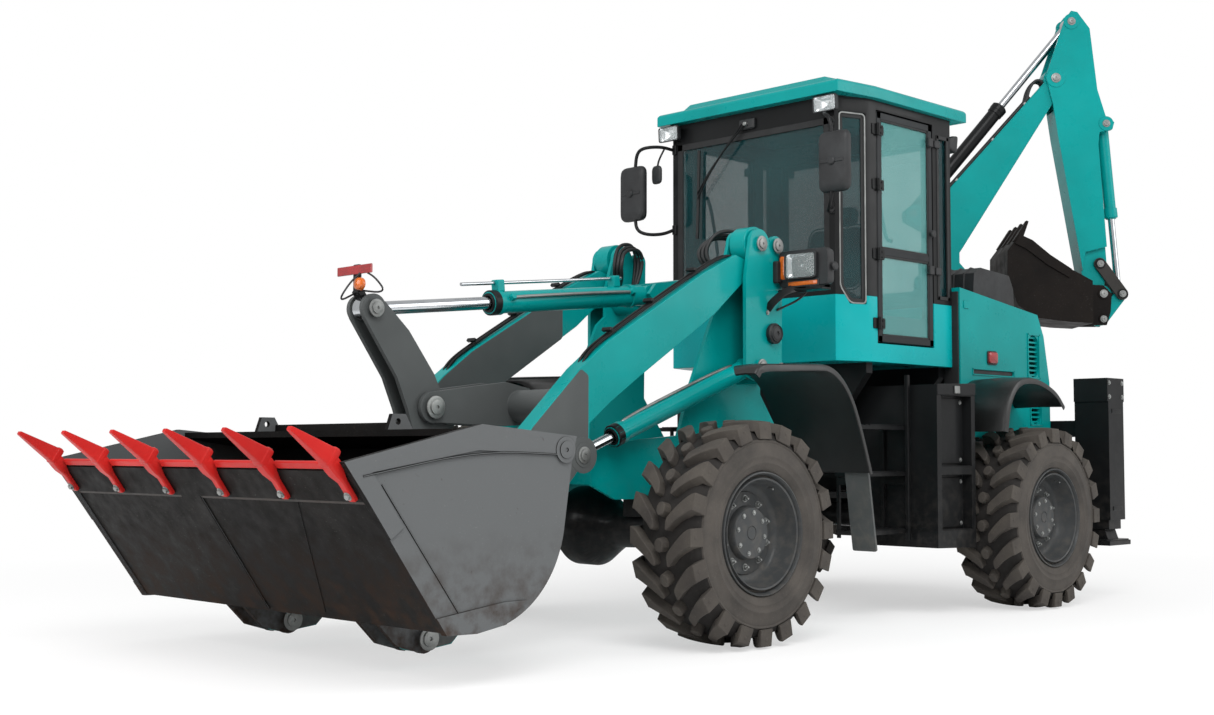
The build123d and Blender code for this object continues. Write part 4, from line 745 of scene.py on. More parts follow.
def teeth():
    """Forged teeth: rows across each tooth's width that narrow from the collar to a pointed tip."""
    rows = (   # distance up the plate, out of it at the back and at the front, half width
        (0.008, 0.011, 0.026, 0.013), (0.018, 0.011, 0.033, 0.019), (0.098, 0.011, 0.033, 0.020),
        (0.120, 0.011, 0.040, 0.026), (0.140, 0.006, 0.047, 0.030), (0.165, 0.000, 0.051, 0.031),
        (0.190, 0.002, 0.053, 0.031), (0.200, 0.006, 0.050, 0.028),
    )
    legs = [[[on_lip(y - half, up, back), on_lip(y + half, up, back), on_lip(y + half, up, front * 0.86),
              on_lip(y + half * 0.8, up, front), on_lip(y - half * 0.8, up, front),
              on_lip(y - half, up, front * 0.86)] for up, back, front, half in rows] for y in LIP_Y]
    piece("tooth_legs", "loader_bucket", RED_PAINT, legs, edge=0.0025)
    tip_from, tip_to = at(3.772, 0, 0.893), at(3.9645, 0, 1.0085)
    ahead = unit(tip_to - tip_from)
    upward = np.cross((0, 1, 0), -ahead)
    stations = ((0.0, 0.030, 0.036), (0.012, 0.0325, 0.041), (0.026, 0.0325, 0.040), (0.032, 0.029, 0.036),
                (0.12, 0.024, 0.023), (0.19, 0.017, 0.013), (0.219, 0.013, 0.009), (0.2235, 0.010, 0.006))
    points = []
    for y in LIP_Y:
        rings = []
        for away, half, thick in stations:
            middle = tip_from + ahead * away + np.array([0, y, 0])
            ring = softened([(-half, -thick), (half, -thick), (half, thick), (-half, thick)], thick * 0.35, 3)
            rings.append(middle + ring[:, 0:1] * np.array([0, 1.0, 0]) + ring[:, 1:2] * upward)
        points.append(rings)
    made = piece("tooth_points", "loader_bucket", RED_PAINT, points, edge=0.0015)
    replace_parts(made, "bucket_teeth")
    section = ((0.145, 0.0), (0.178, 0.0), (0.178, 0.008), (0.174, 0.012), (0.150, 0.012), (0.145, 0.008))
    strips = [[[on_lip(y, up, out) for up, out in section] for y in (left + 0.040, right - 0.040)]
              for left, right in zip(LIP_Y, LIP_Y[1:])]
    piece("edge_strips", "loader_bucket", RED_PAINT, strips, edge=0.001)
    places = [on_lip(y, 0.040, 0.033) for y in LIP_Y]
    bolts("tooth_bolts", "loader_bucket", places, LIP_OUT, 0.013, 0.012)


def bucket_trim():
    """Weld beads, pin bosses, the floor plate's strip and the lip band of the loader bucket."""
    for _, side in SIDES:
        out = np.array([0, side, 0.0])
        weld = mirrored(side, (2.648, BUCKET_HALF - 0.0005, 0.911), (3.136, BUCKET_HALF, 0.928),
                        (3.69, BUCKET_HALF, 0.832))
        hose(f"top_weld_{side}", "loader_bucket", weld, 0.004, BUCKET_STEEL)
        seam = [at(3.60, side * (BUCKET_HALF - 0.006), 0.80), at(3.232, side * (BUCKET_HALF - 0.006), 0.305)]
        hose(f"front_seam_{side}", "loader_bucket", seam, 0.0035, BUCKET_STEEL)
        pin_heads(f"side_bosses_{side}", "loader_bucket", [at(2.672, side * BUCKET_HALF, 0.932)], out,
                  0.036, 0.010, BUCKET_STEEL)
        pin_heads(f"hinge_pins_{side}", "loader_bucket", [pin_at(BUCKET_HINGE, side * 0.626)], out, 0.034,
                  0.014)
        pin_heads(f"hinge_pins_in_{side}", "loader_bucket", [pin_at(BUCKET_HINGE, side * 0.402)], -out,
                  0.034, 0.012)
    strip = slab([(-0.371, 0), (-0.044, 0), (-0.023, 0.622), (-0.182, 0.622)], on_lip(0, -0.626, 0.0),
                 (0, 1, 0), LIP_UP, 0.007, 0.002)
    piece("floor_strip", "loader_bucket", BUCKET_STEEL, strip)
    hose("floor_seam", "loader_bucket", [on_lip(0.700, -0.004, 0.0), on_lip(0.400, -0.600, 0.0)], 0.003,
         BUCKET_STEEL)
    band = slab(rectangle(-1.168, -0.020, 1.168, 0.144), on_lip(0, 0, 0.0), (0, 1, 0), LIP_UP, 0.003, 0.001)
    piece("lip_band", "loader_bucket", LIP_STEEL, band)


teeth()
bucket_trim()

# ------------------------------------------------------------------ linkage
def bar_between(name, body, start, end, across, wide, thick, finish, bevel=0.003):
    """Flat bar from start to end, its wide faces square to across."""
    start, end = np.array(start, float), np.array(end, float)
    ahead = unit(end - start)
    long = np.linalg.norm(end - start)
    upward = np.cross(unit(across), ahead)
    outline = [(0, -wide / 2), (long, -wide / 2), (long, wide / 2), (0, wide / 2)]
    return piece(name, body, finish,
                 slab(softened(outline, wide * 0.2, 4), start - unit(across) * thick / 2, ahead, upward,
                      thick, bevel))


def gland(name, body, base, eye, distance, radius, finish):
    """Screwed collar at a cylinder's mouth: turned steps round its axis at a distance from the base."""
    axis = unit(np.array(eye) - np.array(base))
    profile = [(radius * 0.7, -0.012), (radius, -0.010), (radius * 1.06, -0.006), (radius * 1.06, 0.030),
               (radius * 1.0, 0.034), (radius * 0.82, 0.035), (radius * 0.80, 0.042),
               (radius * 0.62, 0.043), (radius * 0.6, 0.03)]
    return piece(name, body, finish, turned(profile, np.array(base) + axis * distance, axis, 32), caps=False)


TILT_BASE, CRANK_TOP = pin_at(TILT_PIN, 0), pin_at(CRANK_TOP_PIN, 0)
TILT_AXIS = unit(CRANK_TOP - TILT_BASE)


def crank_details():
    """Pin heads of the crank and its link, and the reflector and lamp that ride on the tilt rod's eye."""
    for side in (1, -1):
        for name, body, pin, y, radius, proud in (
                ("crank_top_pin", "bellcrank", CRANK_TOP_PIN, 0.079, 0.028, 0.014),
                ("crank_low_pin", "bellcrank", CRANK_LOW_PIN, 0.063, 0.028, 0.012),
                ("crank_pivot_pin", "loader_arms", CRANK_PIVOT, 0.111, 0.036, 0.016),
                ("link_ear_pin", "loader_bucket", LINK_EAR, 0.063, 0.026, 0.012)):
            pin_heads(f"{name}_{side}", body, [pin_at(pin, side * y)], (0, side, 0), radius, proud)
    # reflector bar on its clamp, the lamp under it and its two wire loops
    piece("reflector_bar", "tilt_rod", RED_LENS, carried(
        np.linspace((0, -0.13, 0), (0, 0.13, 0), 2) + at(2.893, 0, 1.758),
        softened(rectangle(-0.006, -0.021, 0.006, 0.021), 0.004, 3)), edge=0.001)
    piece("reflector_clamp", "tilt_rod", BLACK_PAINT, box(at(2.868, -0.022, 1.640), at(2.888, 0.022, 1.785)))
    bar_between("reflector_stay", "tilt_rod", at(2.846, 0, 1.625), at(2.880, 0, 1.668), (0, 1, 0), 0.036,
                0.05, BLACK_PAINT)
    lens = [(0.030, 0.0), (0.031, 0.010), (0.027, 0.024), (0.016, 0.031), (0.0, 0.033)]
    piece("work_lamp_amber", "tilt_rod", AMBER, turned(lens, at(2.888, 0.045, 1.690), (1, 0.1, 0.05), 24))
    for number, (start, low, end) in enumerate((
            ((2.891, 0.05, 1.746), (3.00, 0.02, 1.600), (2.876, -0.012, 1.655)),
            ((2.891, 0.08, 1.746), (2.86, 0.20, 1.640), (2.878, 0.014, 1.665)))):
        start, low, end = at(*start), at(*low), at(*end)
        hose(f"lamp_wire_{number}", "tilt_rod", [start, (start + low) / 2 + UP * 0.02, low, end], 0.0045)


def on_tilt(far, off=0.0):
    """Point on the tilt cylinder's axis at far metres from its base pin, moved by off."""
    return TILT_BASE + TILT_AXIS * far + off


def tilt_details():
    """Gland, base collar, indicator rod in its two clamps, and the pressure pipes of the tilt cylinder."""
    gland("tilt_gland", "tilt_barrel", TILT_BASE, CRANK_TOP, 1.095, 0.060, BLACK_PAINT)
    base_collar = [(0.058, 0.0), (0.064, 0.003), (0.064, 0.030), (0.058, 0.033)]
    piece("tilt_base_collar", "tilt_barrel", TEAL, turned(base_collar, on_tilt(0.115), TILT_AXIS, 32),
          caps=False)
    top = np.cross((0, 1, 0), -TILT_AXIS) * 0.098
    top = top if top[2] > 0 else -top
    hose("tilt_indicator_rod", "tilt_barrel", [on_tilt(0.18, top), on_tilt(1.30, top)], 0.009, CHROME)
    for distance in (0.235, 1.06):
        clamp = softened(rectangle(-0.026, -0.048, 0.026, 0.016), 0.010, 4)
        place = on_tilt(distance, top)
        piece(f"indicator_clamp_{int(distance * 1000)}", "tilt_barrel", TEAL,
              carried([place - TILT_AXIS * 0.022, place + TILT_AXIS * 0.022], clamp), edge=0.003)
    # pressure pipes that lie on the barrel, bent into a port block at each end
    for side in (1, -1):
        away = unit(np.array([0, side * 0.94, 0]) + top * 3.4)
        line = [on_tilt(far, away * rise) for far, rise in ((0.150, 0.040), (0.160, 0.070),
                                                            (1.020, 0.070), (1.040, 0.040))]
        hose(f"tilt_pipe_{side}", "tilt_barrel", line, 0.009, ZINC)
        for far in (0.160, 1.022):
            block = on_tilt(far, away * 0.045)
            piece(f"tilt_port_{side}_{int(far * 1000)}", "tilt_barrel", TEAL,
                  turned([(0.019, 0.0), (0.019, 0.030), (0.015, 0.036), (0.0, 0.036)], block, away, 6))


def arm_details():
    """Lift pins, grey plates, the pipes along each arm's top and the boss rings at its pivot."""
    for name, side in SIDES:
        out = np.array([0, side, 0.0])
        face = side * ARM_FACE
        pin_heads(f"lift_bosses_{name}", "loader_arms", [pin_at(LIFT_EYE, face)], out, 0.058, 0.006,
                  GREY_PAINT)
        pin_heads(f"lift_pins_{name}", "loader_arms", [pin_at(LIFT_EYE, face + side * 0.006)], out, 0.027,
                  0.012)
        # grey plates: on the arm's end outside, and along its whole inner face
        low = [(2.296, 1.032), (2.596, 0.500), (2.752, 0.264), (2.930, 0.195), (2.992, 0.150), (2.985, 0.095),
               (2.935, 0.074), (2.762, 0.094), (2.302, 0.524), (1.987, 0.854)]
        nose = [(1.936, 1.290), (1.985, 1.318)] + low + [(1.936, 0.868)]
        lining = [(1.145, 1.825), (1.798, 1.456), (1.988, 1.317)] + low
        lining += [(1.933, 0.874), (1.928, 1.056), (1.787, 1.161), (1.584, 1.292), (1.145, 1.562)]
        start = side * 0.562 + (0.0012 if side > 0 else 0.0018)     # each plate grows 3 mm to the right
        for tag, outline, depth in (("out", nose, 0.0), ("in", lining, PLATE_GAP)):
            place = at(0, start - side * depth, 0)
            cap = softened(np.array(outline) * 1000, 14.0, 4) / 1000
            piece(f"arm_nose_{tag}_{name}", "loader_arms", GREY_PAINT,
                  slab(cap, place, (1, 0, 0), (0, 0, 1), 0.003, 0.0006))
        # pressure pipes along the arm's top, in clips
        line = mirrored(side, (0.842, 0.53, 1.93), (0.868, 0.53, 1.979), (1.12, 0.53, 1.862),
                        (1.80, 0.53, 1.477), (1.93, 0.53, 1.382), (1.952, 0.53, 1.310))
        for gap in (0.0, 0.030):
            pipe = [point - [0, side * gap, 0] for point in line]
            hose(f"arm_pipe_{int(gap * 1000)}_{name}", "loader_arms", pipe, 0.008, BLACK_PAINT)
        for x, z in ((1.15, 1.853), (1.47, 1.671), (1.76, 1.508)):
            tab = softened(rectangle(-0.032, 0, 0.032, 0.019), 0.004, 3)
            clip = slab(tab, at(x, side * 0.515, z), (0, 1, 0), unit((-0.49, 0, 0.87)), 0.018)
            piece(f"pipe_clip_{int(x * 100)}_{name}", "loader_arms", BLACK_PAINT, clip)
        # hinge boss rings
        ring = [(0.060, 0.0), (0.093, 0.0), (0.095, 0.004), (0.092, 0.008), (0.060, 0.008)]
        piece(f"arm_boss_{name}", "loader_arms", TEAL, turned(ring, pin_at(ARM_PIVOT, face), out, 40),
              loop=True)


def tower_details():
    """Pins of the towers, the hoses that loop at their tops, and the lift cylinders' pipes and glands."""
    for name, side in SIDES:
        face = side * TOWER_FACE
        pins = [pin_at(ARM_PIVOT, face), pin_at(ARM_STOP, face)]
        pin_heads(f"tower_pins_{name}", "front_chassis", pins, (0, side, 0), 0.028, 0.012)
        pin_heads(f"lift_base_pin_{name}", "front_chassis", [pin_at(LIFT_BASE, face)], (0, side, 0), 0.026,
                  0.012)
        # supply hoses out of the tower's top and into its inner face
        for number, top in enumerate((2.135, 2.115, 2.10)):
            y = 0.43 - 0.028 * number
            path = mirrored(side, (0.66 + 0.04 * number, y, 1.72), (0.60, y - 0.01, 1.98),
                            (0.63, y - 0.03, top), (0.80, y - 0.06, top - 0.02), (0.86, y - 0.09, 1.99),
                            (0.80, y - 0.04, 1.90), (0.72, 0.452, 1.87))
            hose(f"tower_hose_{number}_{name}", "front_chassis", path, 0.0105)
        base, eye = pin_at(LIFT_BASE, side * ARM_MIDDLE), pin_at(LIFT_EYE, side * ARM_MIDDLE)
        ahead = unit(eye - base)
        above = unit(np.cross(ahead, (0, 1, 0)))
        line = [base + ahead * far + above * rise
                for far, rise in ((0.120, 0.030), (0.135, 0.058), (1.000, 0.058), (1.015, 0.030))]
        hose(f"lift_pipe_{name}", "lift_barrels", line, 0.008, ZINC)
        gland(f"lift_gland_{name}", "lift_barrels", base, eye, 1.064, 0.054, BLACK_PAINT)


crank_details()
tilt_details()
arm_details()
tower_details()

# ------------------------------------------------------------------ cab
DOOR_MIDDLE = (-0.520, 2.222)
DOOR_SIZE = (0.560, 1.332)


def cab_doors():
    """Doors: a rounded frame, a bar, two panes in gaskets, hinges, latches, and the seal on the cab."""
    for name, side in SIDES:
        body = "door_" + name
        facing_out = ((-side, 0, 0), UP)
        middle = np.array(DOOR_MIDDLE) * [-side, 1]
        shell = ring_frame(oblong(*DOOR_SIZE, 0.0005, middle), at(0, side * 0.656, 0), *facing_out, 0.040,
                           0.044, 0.030, 0.004)
        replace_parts(piece(f"door_shell_{name}", body, FRAME_PAINT, shell, loop=True),
                    body)
        side_plate(f"door_rail_{name}", body, FRAME_PAINT, rectangle(-0.768, 2.060, -0.272, 2.098),
                   0.660, 0.038, side)
        panes = [slab(oblong(0.490, high, 0.03, middle * [1, 0] + [0, z]), at(0, side * 0.684, 0),
                      *facing_out, 0.006, 0.001) for high, z in ((0.768, 2.475), (0.474, 1.830))]
        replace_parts(piece(f"door_panes_{name}", body, DOOR_GLASS, panes),
                    "door_glass_" + name)
        for tag, high, z in (("upper", 0.764, 2.473), ("lower", 0.478, 1.826)):
            gasket = ring_frame(oblong(0.500, high, 0.0005, middle * [1, 0] + [0, z]),
                                at(0, side * 0.6905, 0), *facing_out, 0.018, 0.006, 0.035)
            piece(f"door_gasket_{tag}_{name}", body, SEAL_RUBBER, gasket, loop=True)
        side_plate(f"kick_panel_{name}", body, BLACK_PLASTIC, rectangle(-0.765, 1.598, -0.275, 1.716),
                   0.668, 0.010, side)
        knuckle = [(0.0, -0.036), (0.010, -0.036), (0.0125, -0.033), (0.0125, -0.012), (0.0115, -0.011),
                   (0.0115, -0.010), (0.0125, -0.009), (0.0125, 0.033), (0.010, 0.036), (0.0, 0.036)]
        heights = (1.662, 2.060, 2.462, 2.782)
        hinge = [at(-0.232, side * 0.712, z) for z in heights]
        piece(f"door_knuckles_{name}", body, BLACK_PAINT,
              np.array(hinge)[:, None, None] + turned(knuckle, np.zeros(3), UP, 20))
        leaves = [slab(oblong(0.052, 0.062, 0.010, (0.272 * side, z)), at(0, side * 0.6995, 0),
                       *facing_out, 0.007, 0.002) for z in heights]
        piece(f"door_leaves_{name}", body, BLACK_PAINT, leaves)
        heads = [at(-0.272, side * 0.706, z + d) for z in heights for d in (-0.016, 0.016)]
        bolts(f"door_leaf_bolts_{name}", body, heads, (0, side, 0), 0.006, 0.005, BLACK_PAINT)
        fixed = [slab(oblong(0.040, 0.062, 0.010, (0.204 * side, z)), at(0, side * 0.6995, 0),
                      *facing_out, 0.007, 0.002) for z in heights]
        piece(f"pillar_leaves_{name}", "rear_chassis", BLACK_PAINT, fixed)
        # latches, handle and the bar inside the door
        for tag, carrier, x_low, x_high, y_high, half in (
                ("latches", body, -0.790, -0.742, 0.722, 0.026),
                ("strikers", "rear_chassis", -0.872, -0.816, 0.716, 0.022)):
            blocks = [box(*mirrored(side, (x_low, 0.699, z - half), (x_high, y_high, z + half)), 0.003, 0.008)
                      for z in (2.780, 2.010)]
            piece(f"door_{tag}_{name}", carrier, BLACK_PLASTIC, blocks)
        knob = [(0.010, 0.0), (0.010, 0.012), (0.022, 0.014), (0.024, 0.020), (0.020, 0.028), (0.0, 0.030)]
        piece(f"door_knob_{name}", body, BLACK_PLASTIC,
              turned(knob, at(-0.778, side * 0.700, 2.229), (0, side, 0), 24))
        pull = mirrored(side, (-0.300, 0.682, 2.560), (-0.305, 0.640, 2.540), (-0.395, 0.640, 2.170),
                        (-0.405, 0.682, 2.150))
        hose(f"door_pull_{name}", body, pull, 0.011, BLACK_PLASTIC)
        seal = ring_frame(oblong(0.610, 1.388, 0.0005, middle), at(0, side * 0.641, 0), *facing_out,
                          0.056, 0.010, 0.05)
        piece(f"door_seal_{name}", "rear_chassis", SEAL_RUBBER, seal, loop=True)


def cab_windows():
    """Rubber bands round the screens, silver beads round the corner panes, and the wiper."""
    front = ((0, 1, 0), UP)
    band = ring_frame(oblong(1.196, 1.006, 0.0005, (0.0, 2.340)), at(0.0485, 0, 0), *front, 0.056, 0.010,
                      0.014)
    piece("screen_band", "rear_chassis", SEAL_RUBBER, band, loop=True)
    rear = ring_frame(oblong(1.196, 1.006, 0.0005, (0.0, 2.340)), at(-0.990, 0, 0), (0, -1, 0), UP, 0.050,
                      0.012, 0.014)
    piece("rear_window_band", "rear_chassis", SEAL_RUBBER, rear, loop=True)
    for name, side in SIDES:
        back = unit((-0.230, side * 0.080, 0))
        pane = np.array([(0.030, 2.860), (0.030, 1.860), (0.100, 1.765), (0.213, 1.765),
                         (0.213, 2.860)]) * [side, 1]
        place = at(0.060, side * 0.620, 0)
        out = np.cross(back * side, UP)
        for tag, wide, thick, depth, finish in (("bead", 0.009, 0.006, -0.006, ZINC),
                                                ("rubber", 0.030, 0.010, -0.0165, SEAL_RUBBER)):
            ring = ring_frame(pane, place + out * depth, back * side, UP, wide, thick, 0.03, 0.0012)
            piece(f"corner_{tag}_{name}", "rear_chassis", finish, ring, loop=True)
        quarter = ring_frame(oblong(0.128, 0.998, 0.0005, (0.912 * side, 2.340)), at(0, side * 0.6945, 0),
                             (-side, 0, 0), UP, 0.022, 0.010, 0.02)
        piece(f"quarter_rubber_{name}", "rear_chassis", SEAL_RUBBER, quarter, loop=True)
    piece("wiper_motor", "rear_chassis", BLACK_PLASTIC,
          box(at(0.058, -0.070, 2.842), at(0.082, 0.050, 2.905), 0.006, 0.02))
    spindle = [(0.013, 0.0), (0.013, 0.018), (0.009, 0.022), (0.0, 0.022)]
    piece("wiper_spindle", "rear_chassis", ZINC, turned(spindle, at(0.080, -0.010, 2.872), (1, 0, 0), 16))
    for tag, foot, knee, end in (("arm", -0.010, (-0.250, 2.660), (-0.395, 2.500)),
                                 ("link", -0.035, (-0.270, 2.630), (-0.392, 2.470))):
        hose(f"wiper_{tag}", "rear_chassis", [at(0.094, foot, 2.872), at(0.100, *knee), at(0.086, *end)],
             0.0055, BLACK_PAINT)
    blade = carried([at(0.076, -0.388, 2.765), at(0.074, -0.396, 2.500), at(0.076, -0.404, 2.225)],
                    [(-0.004, -0.011), (0.004, -0.011), (0.009, 0.005), (0.0, 0.011), (-0.009, 0.005)],
                    (1, 0, 0))
    piece("wiper_blade", "rear_chassis", SEAL_RUBBER, blade)


def mirrors():
    """Tapered mirror shells with a cross rib and a knob, their glass, and the bent tubes that hold them."""
    for name, side in SIDES:
        outline = oblong(0.200, 0.340, 0.045, (side * 0.770, 2.520))
        shell = ((0.93, 0.0), (0.98, 0.003), (1.0, 0.010), (1.0, 0.022), (0.96, 0.036), (0.87, 0.046),
                 (0.70, 0.050), (0.001, 0.051))
        made = piece(f"mirror_shell_{name}", "rear_chassis", BLACK_PLASTIC,
                     swell(outline, shell, at(0.239, 0, 0), (0, 1, 0), UP), caps=False, smooth=30)
        if side > 0:
            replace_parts(made, "mirrors_and_lamps")
        piece(f"mirror_glass_{name}", "rear_chassis", MIRROR_GLASS,
              slab(oblong(0.176, 0.314, 0.04, (-side * 0.770, 2.520)), at(0.2405, 0, 0), (0, -1, 0), UP,
                   0.003, 0.0008))
        rib = box(*mirrored(side, (0.284, 0.692, 2.510), (0.293, 0.848, 2.530)), 0.003, 0.004)
        piece(f"mirror_rib_{name}", "rear_chassis", BLACK_PLASTIC, rib)
        knob = [(0.024, 0.0), (0.024, 0.008), (0.018, 0.013), (0.0, 0.014)]
        piece(f"mirror_knob_{name}", "rear_chassis", BLACK_PLASTIC,
              turned(knob, at(0.288, side * 0.770, 2.520), (1, 0, 0), 24))
        hose(f"mirror_tube_top_{name}", "rear_chassis",
             mirrored(side, (0.064, 0.612, 2.800), (0.150, 0.640, 2.815), (0.255, 0.690, 2.800),
                      (0.262, 0.740, 2.770), (0.262, 0.752, 2.670)), 0.0105, BLACK_PAINT)
        hose(f"mirror_tube_low_{name}", "rear_chassis",
             mirrored(side, (0.262, 0.752, 2.370), (0.262, 0.740, 2.290), (0.220, 0.690, 2.262),
                      (0.130, 0.640, 2.270), (0.064, 0.612, 2.300)), 0.0105, BLACK_PAINT)
        feet = [box(*mirrored(side, (0.0595, 0.585, z - 0.030), (0.072, 0.619, z + 0.030)), 0.003, 0.006)
                for z in (2.800, 2.300)]
        piece(f"mirror_feet_{name}", "rear_chassis", BLACK_PAINT, feet)
        square_lamp(f"roof_lamp_{name}", "rear_chassis", at(0.128, side * 0.600, 2.892), (1, 0, -0.06),
                    0.165, 0.092, 0.066)
        piece(f"roof_lamp_stay_{name}", "rear_chassis", BLACK_PAINT,
              box(*mirrored(side, (0.070, 0.590, 2.935), (0.100, 0.610, 2.952))))
        square_lamp(f"rear_lamp_{name}", "rear_chassis", at(-1.088, side * 0.640, 2.815),
                    (-1, side * 0.15, -0.12), 0.130, 0.105, 0.062)
        piece(f"rear_lamp_stay_{name}", "rear_chassis", BLACK_PAINT,
              box(*mirrored(side, (-1.062, 0.630, 2.862), (-1.030, 0.650, 2.952))))
    piece("small_mirror", "rear_chassis", BLACK_PLASTIC,
          swell(oblong(0.075, 0.115, 0.028, (-0.665, 2.640)), ((0.94, 0.0), (1.0, 0.006), (1.0, 0.012),
                                                               (0.8, 0.022), (0.001, 0.024)),
                at(0.150, 0, 0), (0, 1, 0), UP), caps=False)
    hose("small_mirror_stem", "rear_chassis", [at(0.160, -0.660, 2.680), at(0.155, -0.655, 2.730),
                                               at(0.120, -0.632, 2.812)], 0.006, BLACK_PAINT)


def pillow(name, rings, seams, cap=0.012, voxel=0.009):
    """Cushion: a smaller crowned form blown up as cloth for 20 steps, no point moving more than cap."""
    made = piece(name, "rear_chassis", SEAT_CLOTH, rings, smooth=80)
    start_mesh = made.data
    remesh = made.modifiers.new("remesh", "REMESH")
    remesh.mode = "VOXEL"
    remesh.voxel_size = voxel
    graph = bpy.context.evaluated_depsgraph_get()
    even = bpy.data.meshes.new_from_object(made.evaluated_get(graph))
    made.modifiers.clear()
    made.data = even
    bpy.data.meshes.remove(start_mesh)
    at_rest = np.array([v.co[:] for v in even.vertices])
    cloth = made.modifiers.new("cloth", "CLOTH")
    cloth.settings.use_pressure = True
    cloth.settings.uniform_pressure_force = 4.0
    cloth.settings.effector_weights.gravity = 0.0
    scene = bpy.context.scene
    for step in range(1, 21):
        scene.frame_set(step)
    blown = made.evaluated_get(bpy.context.evaluated_depsgraph_get()).to_mesh()
    moved = np.array([v.co[:] for v in blown.vertices]) - at_rest
    made.modifiers.clear()
    scene.frame_set(1)
    far = np.linalg.norm(moved, axis=1, keepdims=True)
    moved = moved * np.minimum(1.0, cap / np.maximum(far, 1e-9))
    even.vertices.foreach_set("co", (at_rest + moved).ravel())
    even.update()
    even.shade_smooth()
    even.materials.clear()
    even.materials.append(SEAT_CLOTH)
    finer = made.modifiers.new("finer", "SUBSURF")
    finer.levels = finer.render_levels = 1
    for number, line in enumerate(seams):
        closed = np.concatenate([line, line[:1]])
        piece(f"{name}_piping_{number}", "rear_chassis", SEAL_RUBBER,
              carried(closed, circle(0.0045, 8), (0.05, 0.03, 1.0)), smooth=60)
    return made


def crowned(wide, long, steps, place, across, upward, cut=0.07):
    """Rounded rectangle swollen by (scale, lift) steps."""
    return swell(oblong(wide, long, cut), steps, place, across, upward)


def seat():
    """Base, back and headrest as cushions, and the steering wheel ahead of them."""
    form = ((0.55, 0.000), (0.90, 0.006), (0.97, 0.030), (0.98, 0.062), (0.92, 0.086), (0.72, 0.098),
            (0.40, 0.102))
    lies = (at(-0.540, 0, 1.817), (1, 0, 0), (0, 1, 0))
    edge = crowned(0.462, 0.455, ((1.0, 0.052),), *lies)[0]
    base = pillow("seat_base_cushion", crowned(0.455, 0.455, form, *lies), [edge])
    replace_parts(base, "seat_cushion")
    lean = unit((-0.16, 0, 1.0))
    thick = ((0.55, 0.000), (0.90, 0.004), (0.98, 0.024), (0.98, 0.052), (0.90, 0.070), (0.66, 0.080))
    leans = (at(-0.808, 0, 2.135), (0, 1, 0), lean)
    edge = crowned(0.440, 0.420, ((1.0, 0.040),), *leans)[0]
    pillow("seat_back_cushion", crowned(0.435, 0.415, thick, *leans), [edge])
    rest = crowned(0.250, 0.120, thick, at(-0.872, 0, 2.445), (0, 1, 0), lean, 0.04)
    pillow("seat_headrest", rest - [0, 0, 0.042], [])
    for side in (1, -1):
        hose(f"headrest_post_{side}", "rear_chassis",
             mirrored(side, (-0.815, 0.06, 2.30), (-0.842, 0.06, 2.42)), 0.007, CHROME)
    # steering wheel: a round rim on its spokes' ring
    wheel_middle, wheel_axis = at(-0.060 - 0.6 * 0.121, 0, 1.950 + 0.8 * 0.121), unit((-0.6, 0, 0.8))
    first, second = axes_about(wheel_axis)
    turn = np.linspace(0, 2 * np.pi, 48, endpoint=False)
    rim_line = wheel_middle + 0.186 * (np.cos(turn)[:, None] * first + np.sin(turn)[:, None] * second)
    outwards = (rim_line - wheel_middle) / 0.186
    ring = circle(0.0145, 12)
    rim = rim_line[:, None] + ring[None, :, 0:1] * outwards[:, None] + ring[None, :, 1:2] * wheel_axis
    piece("steering_rim", "rear_chassis", BLACK_PLASTIC, rim, loop=True, smooth=60)
    hub = [(0.040, 0.0), (0.044, 0.010), (0.036, 0.024), (0.0, 0.028)]
    piece("steering_hub", "rear_chassis", BLACK_PLASTIC, turned(hub, wheel_middle, wheel_axis, 28), smooth=50)


cab_doors()
cab_windows()
mirrors()
seat()

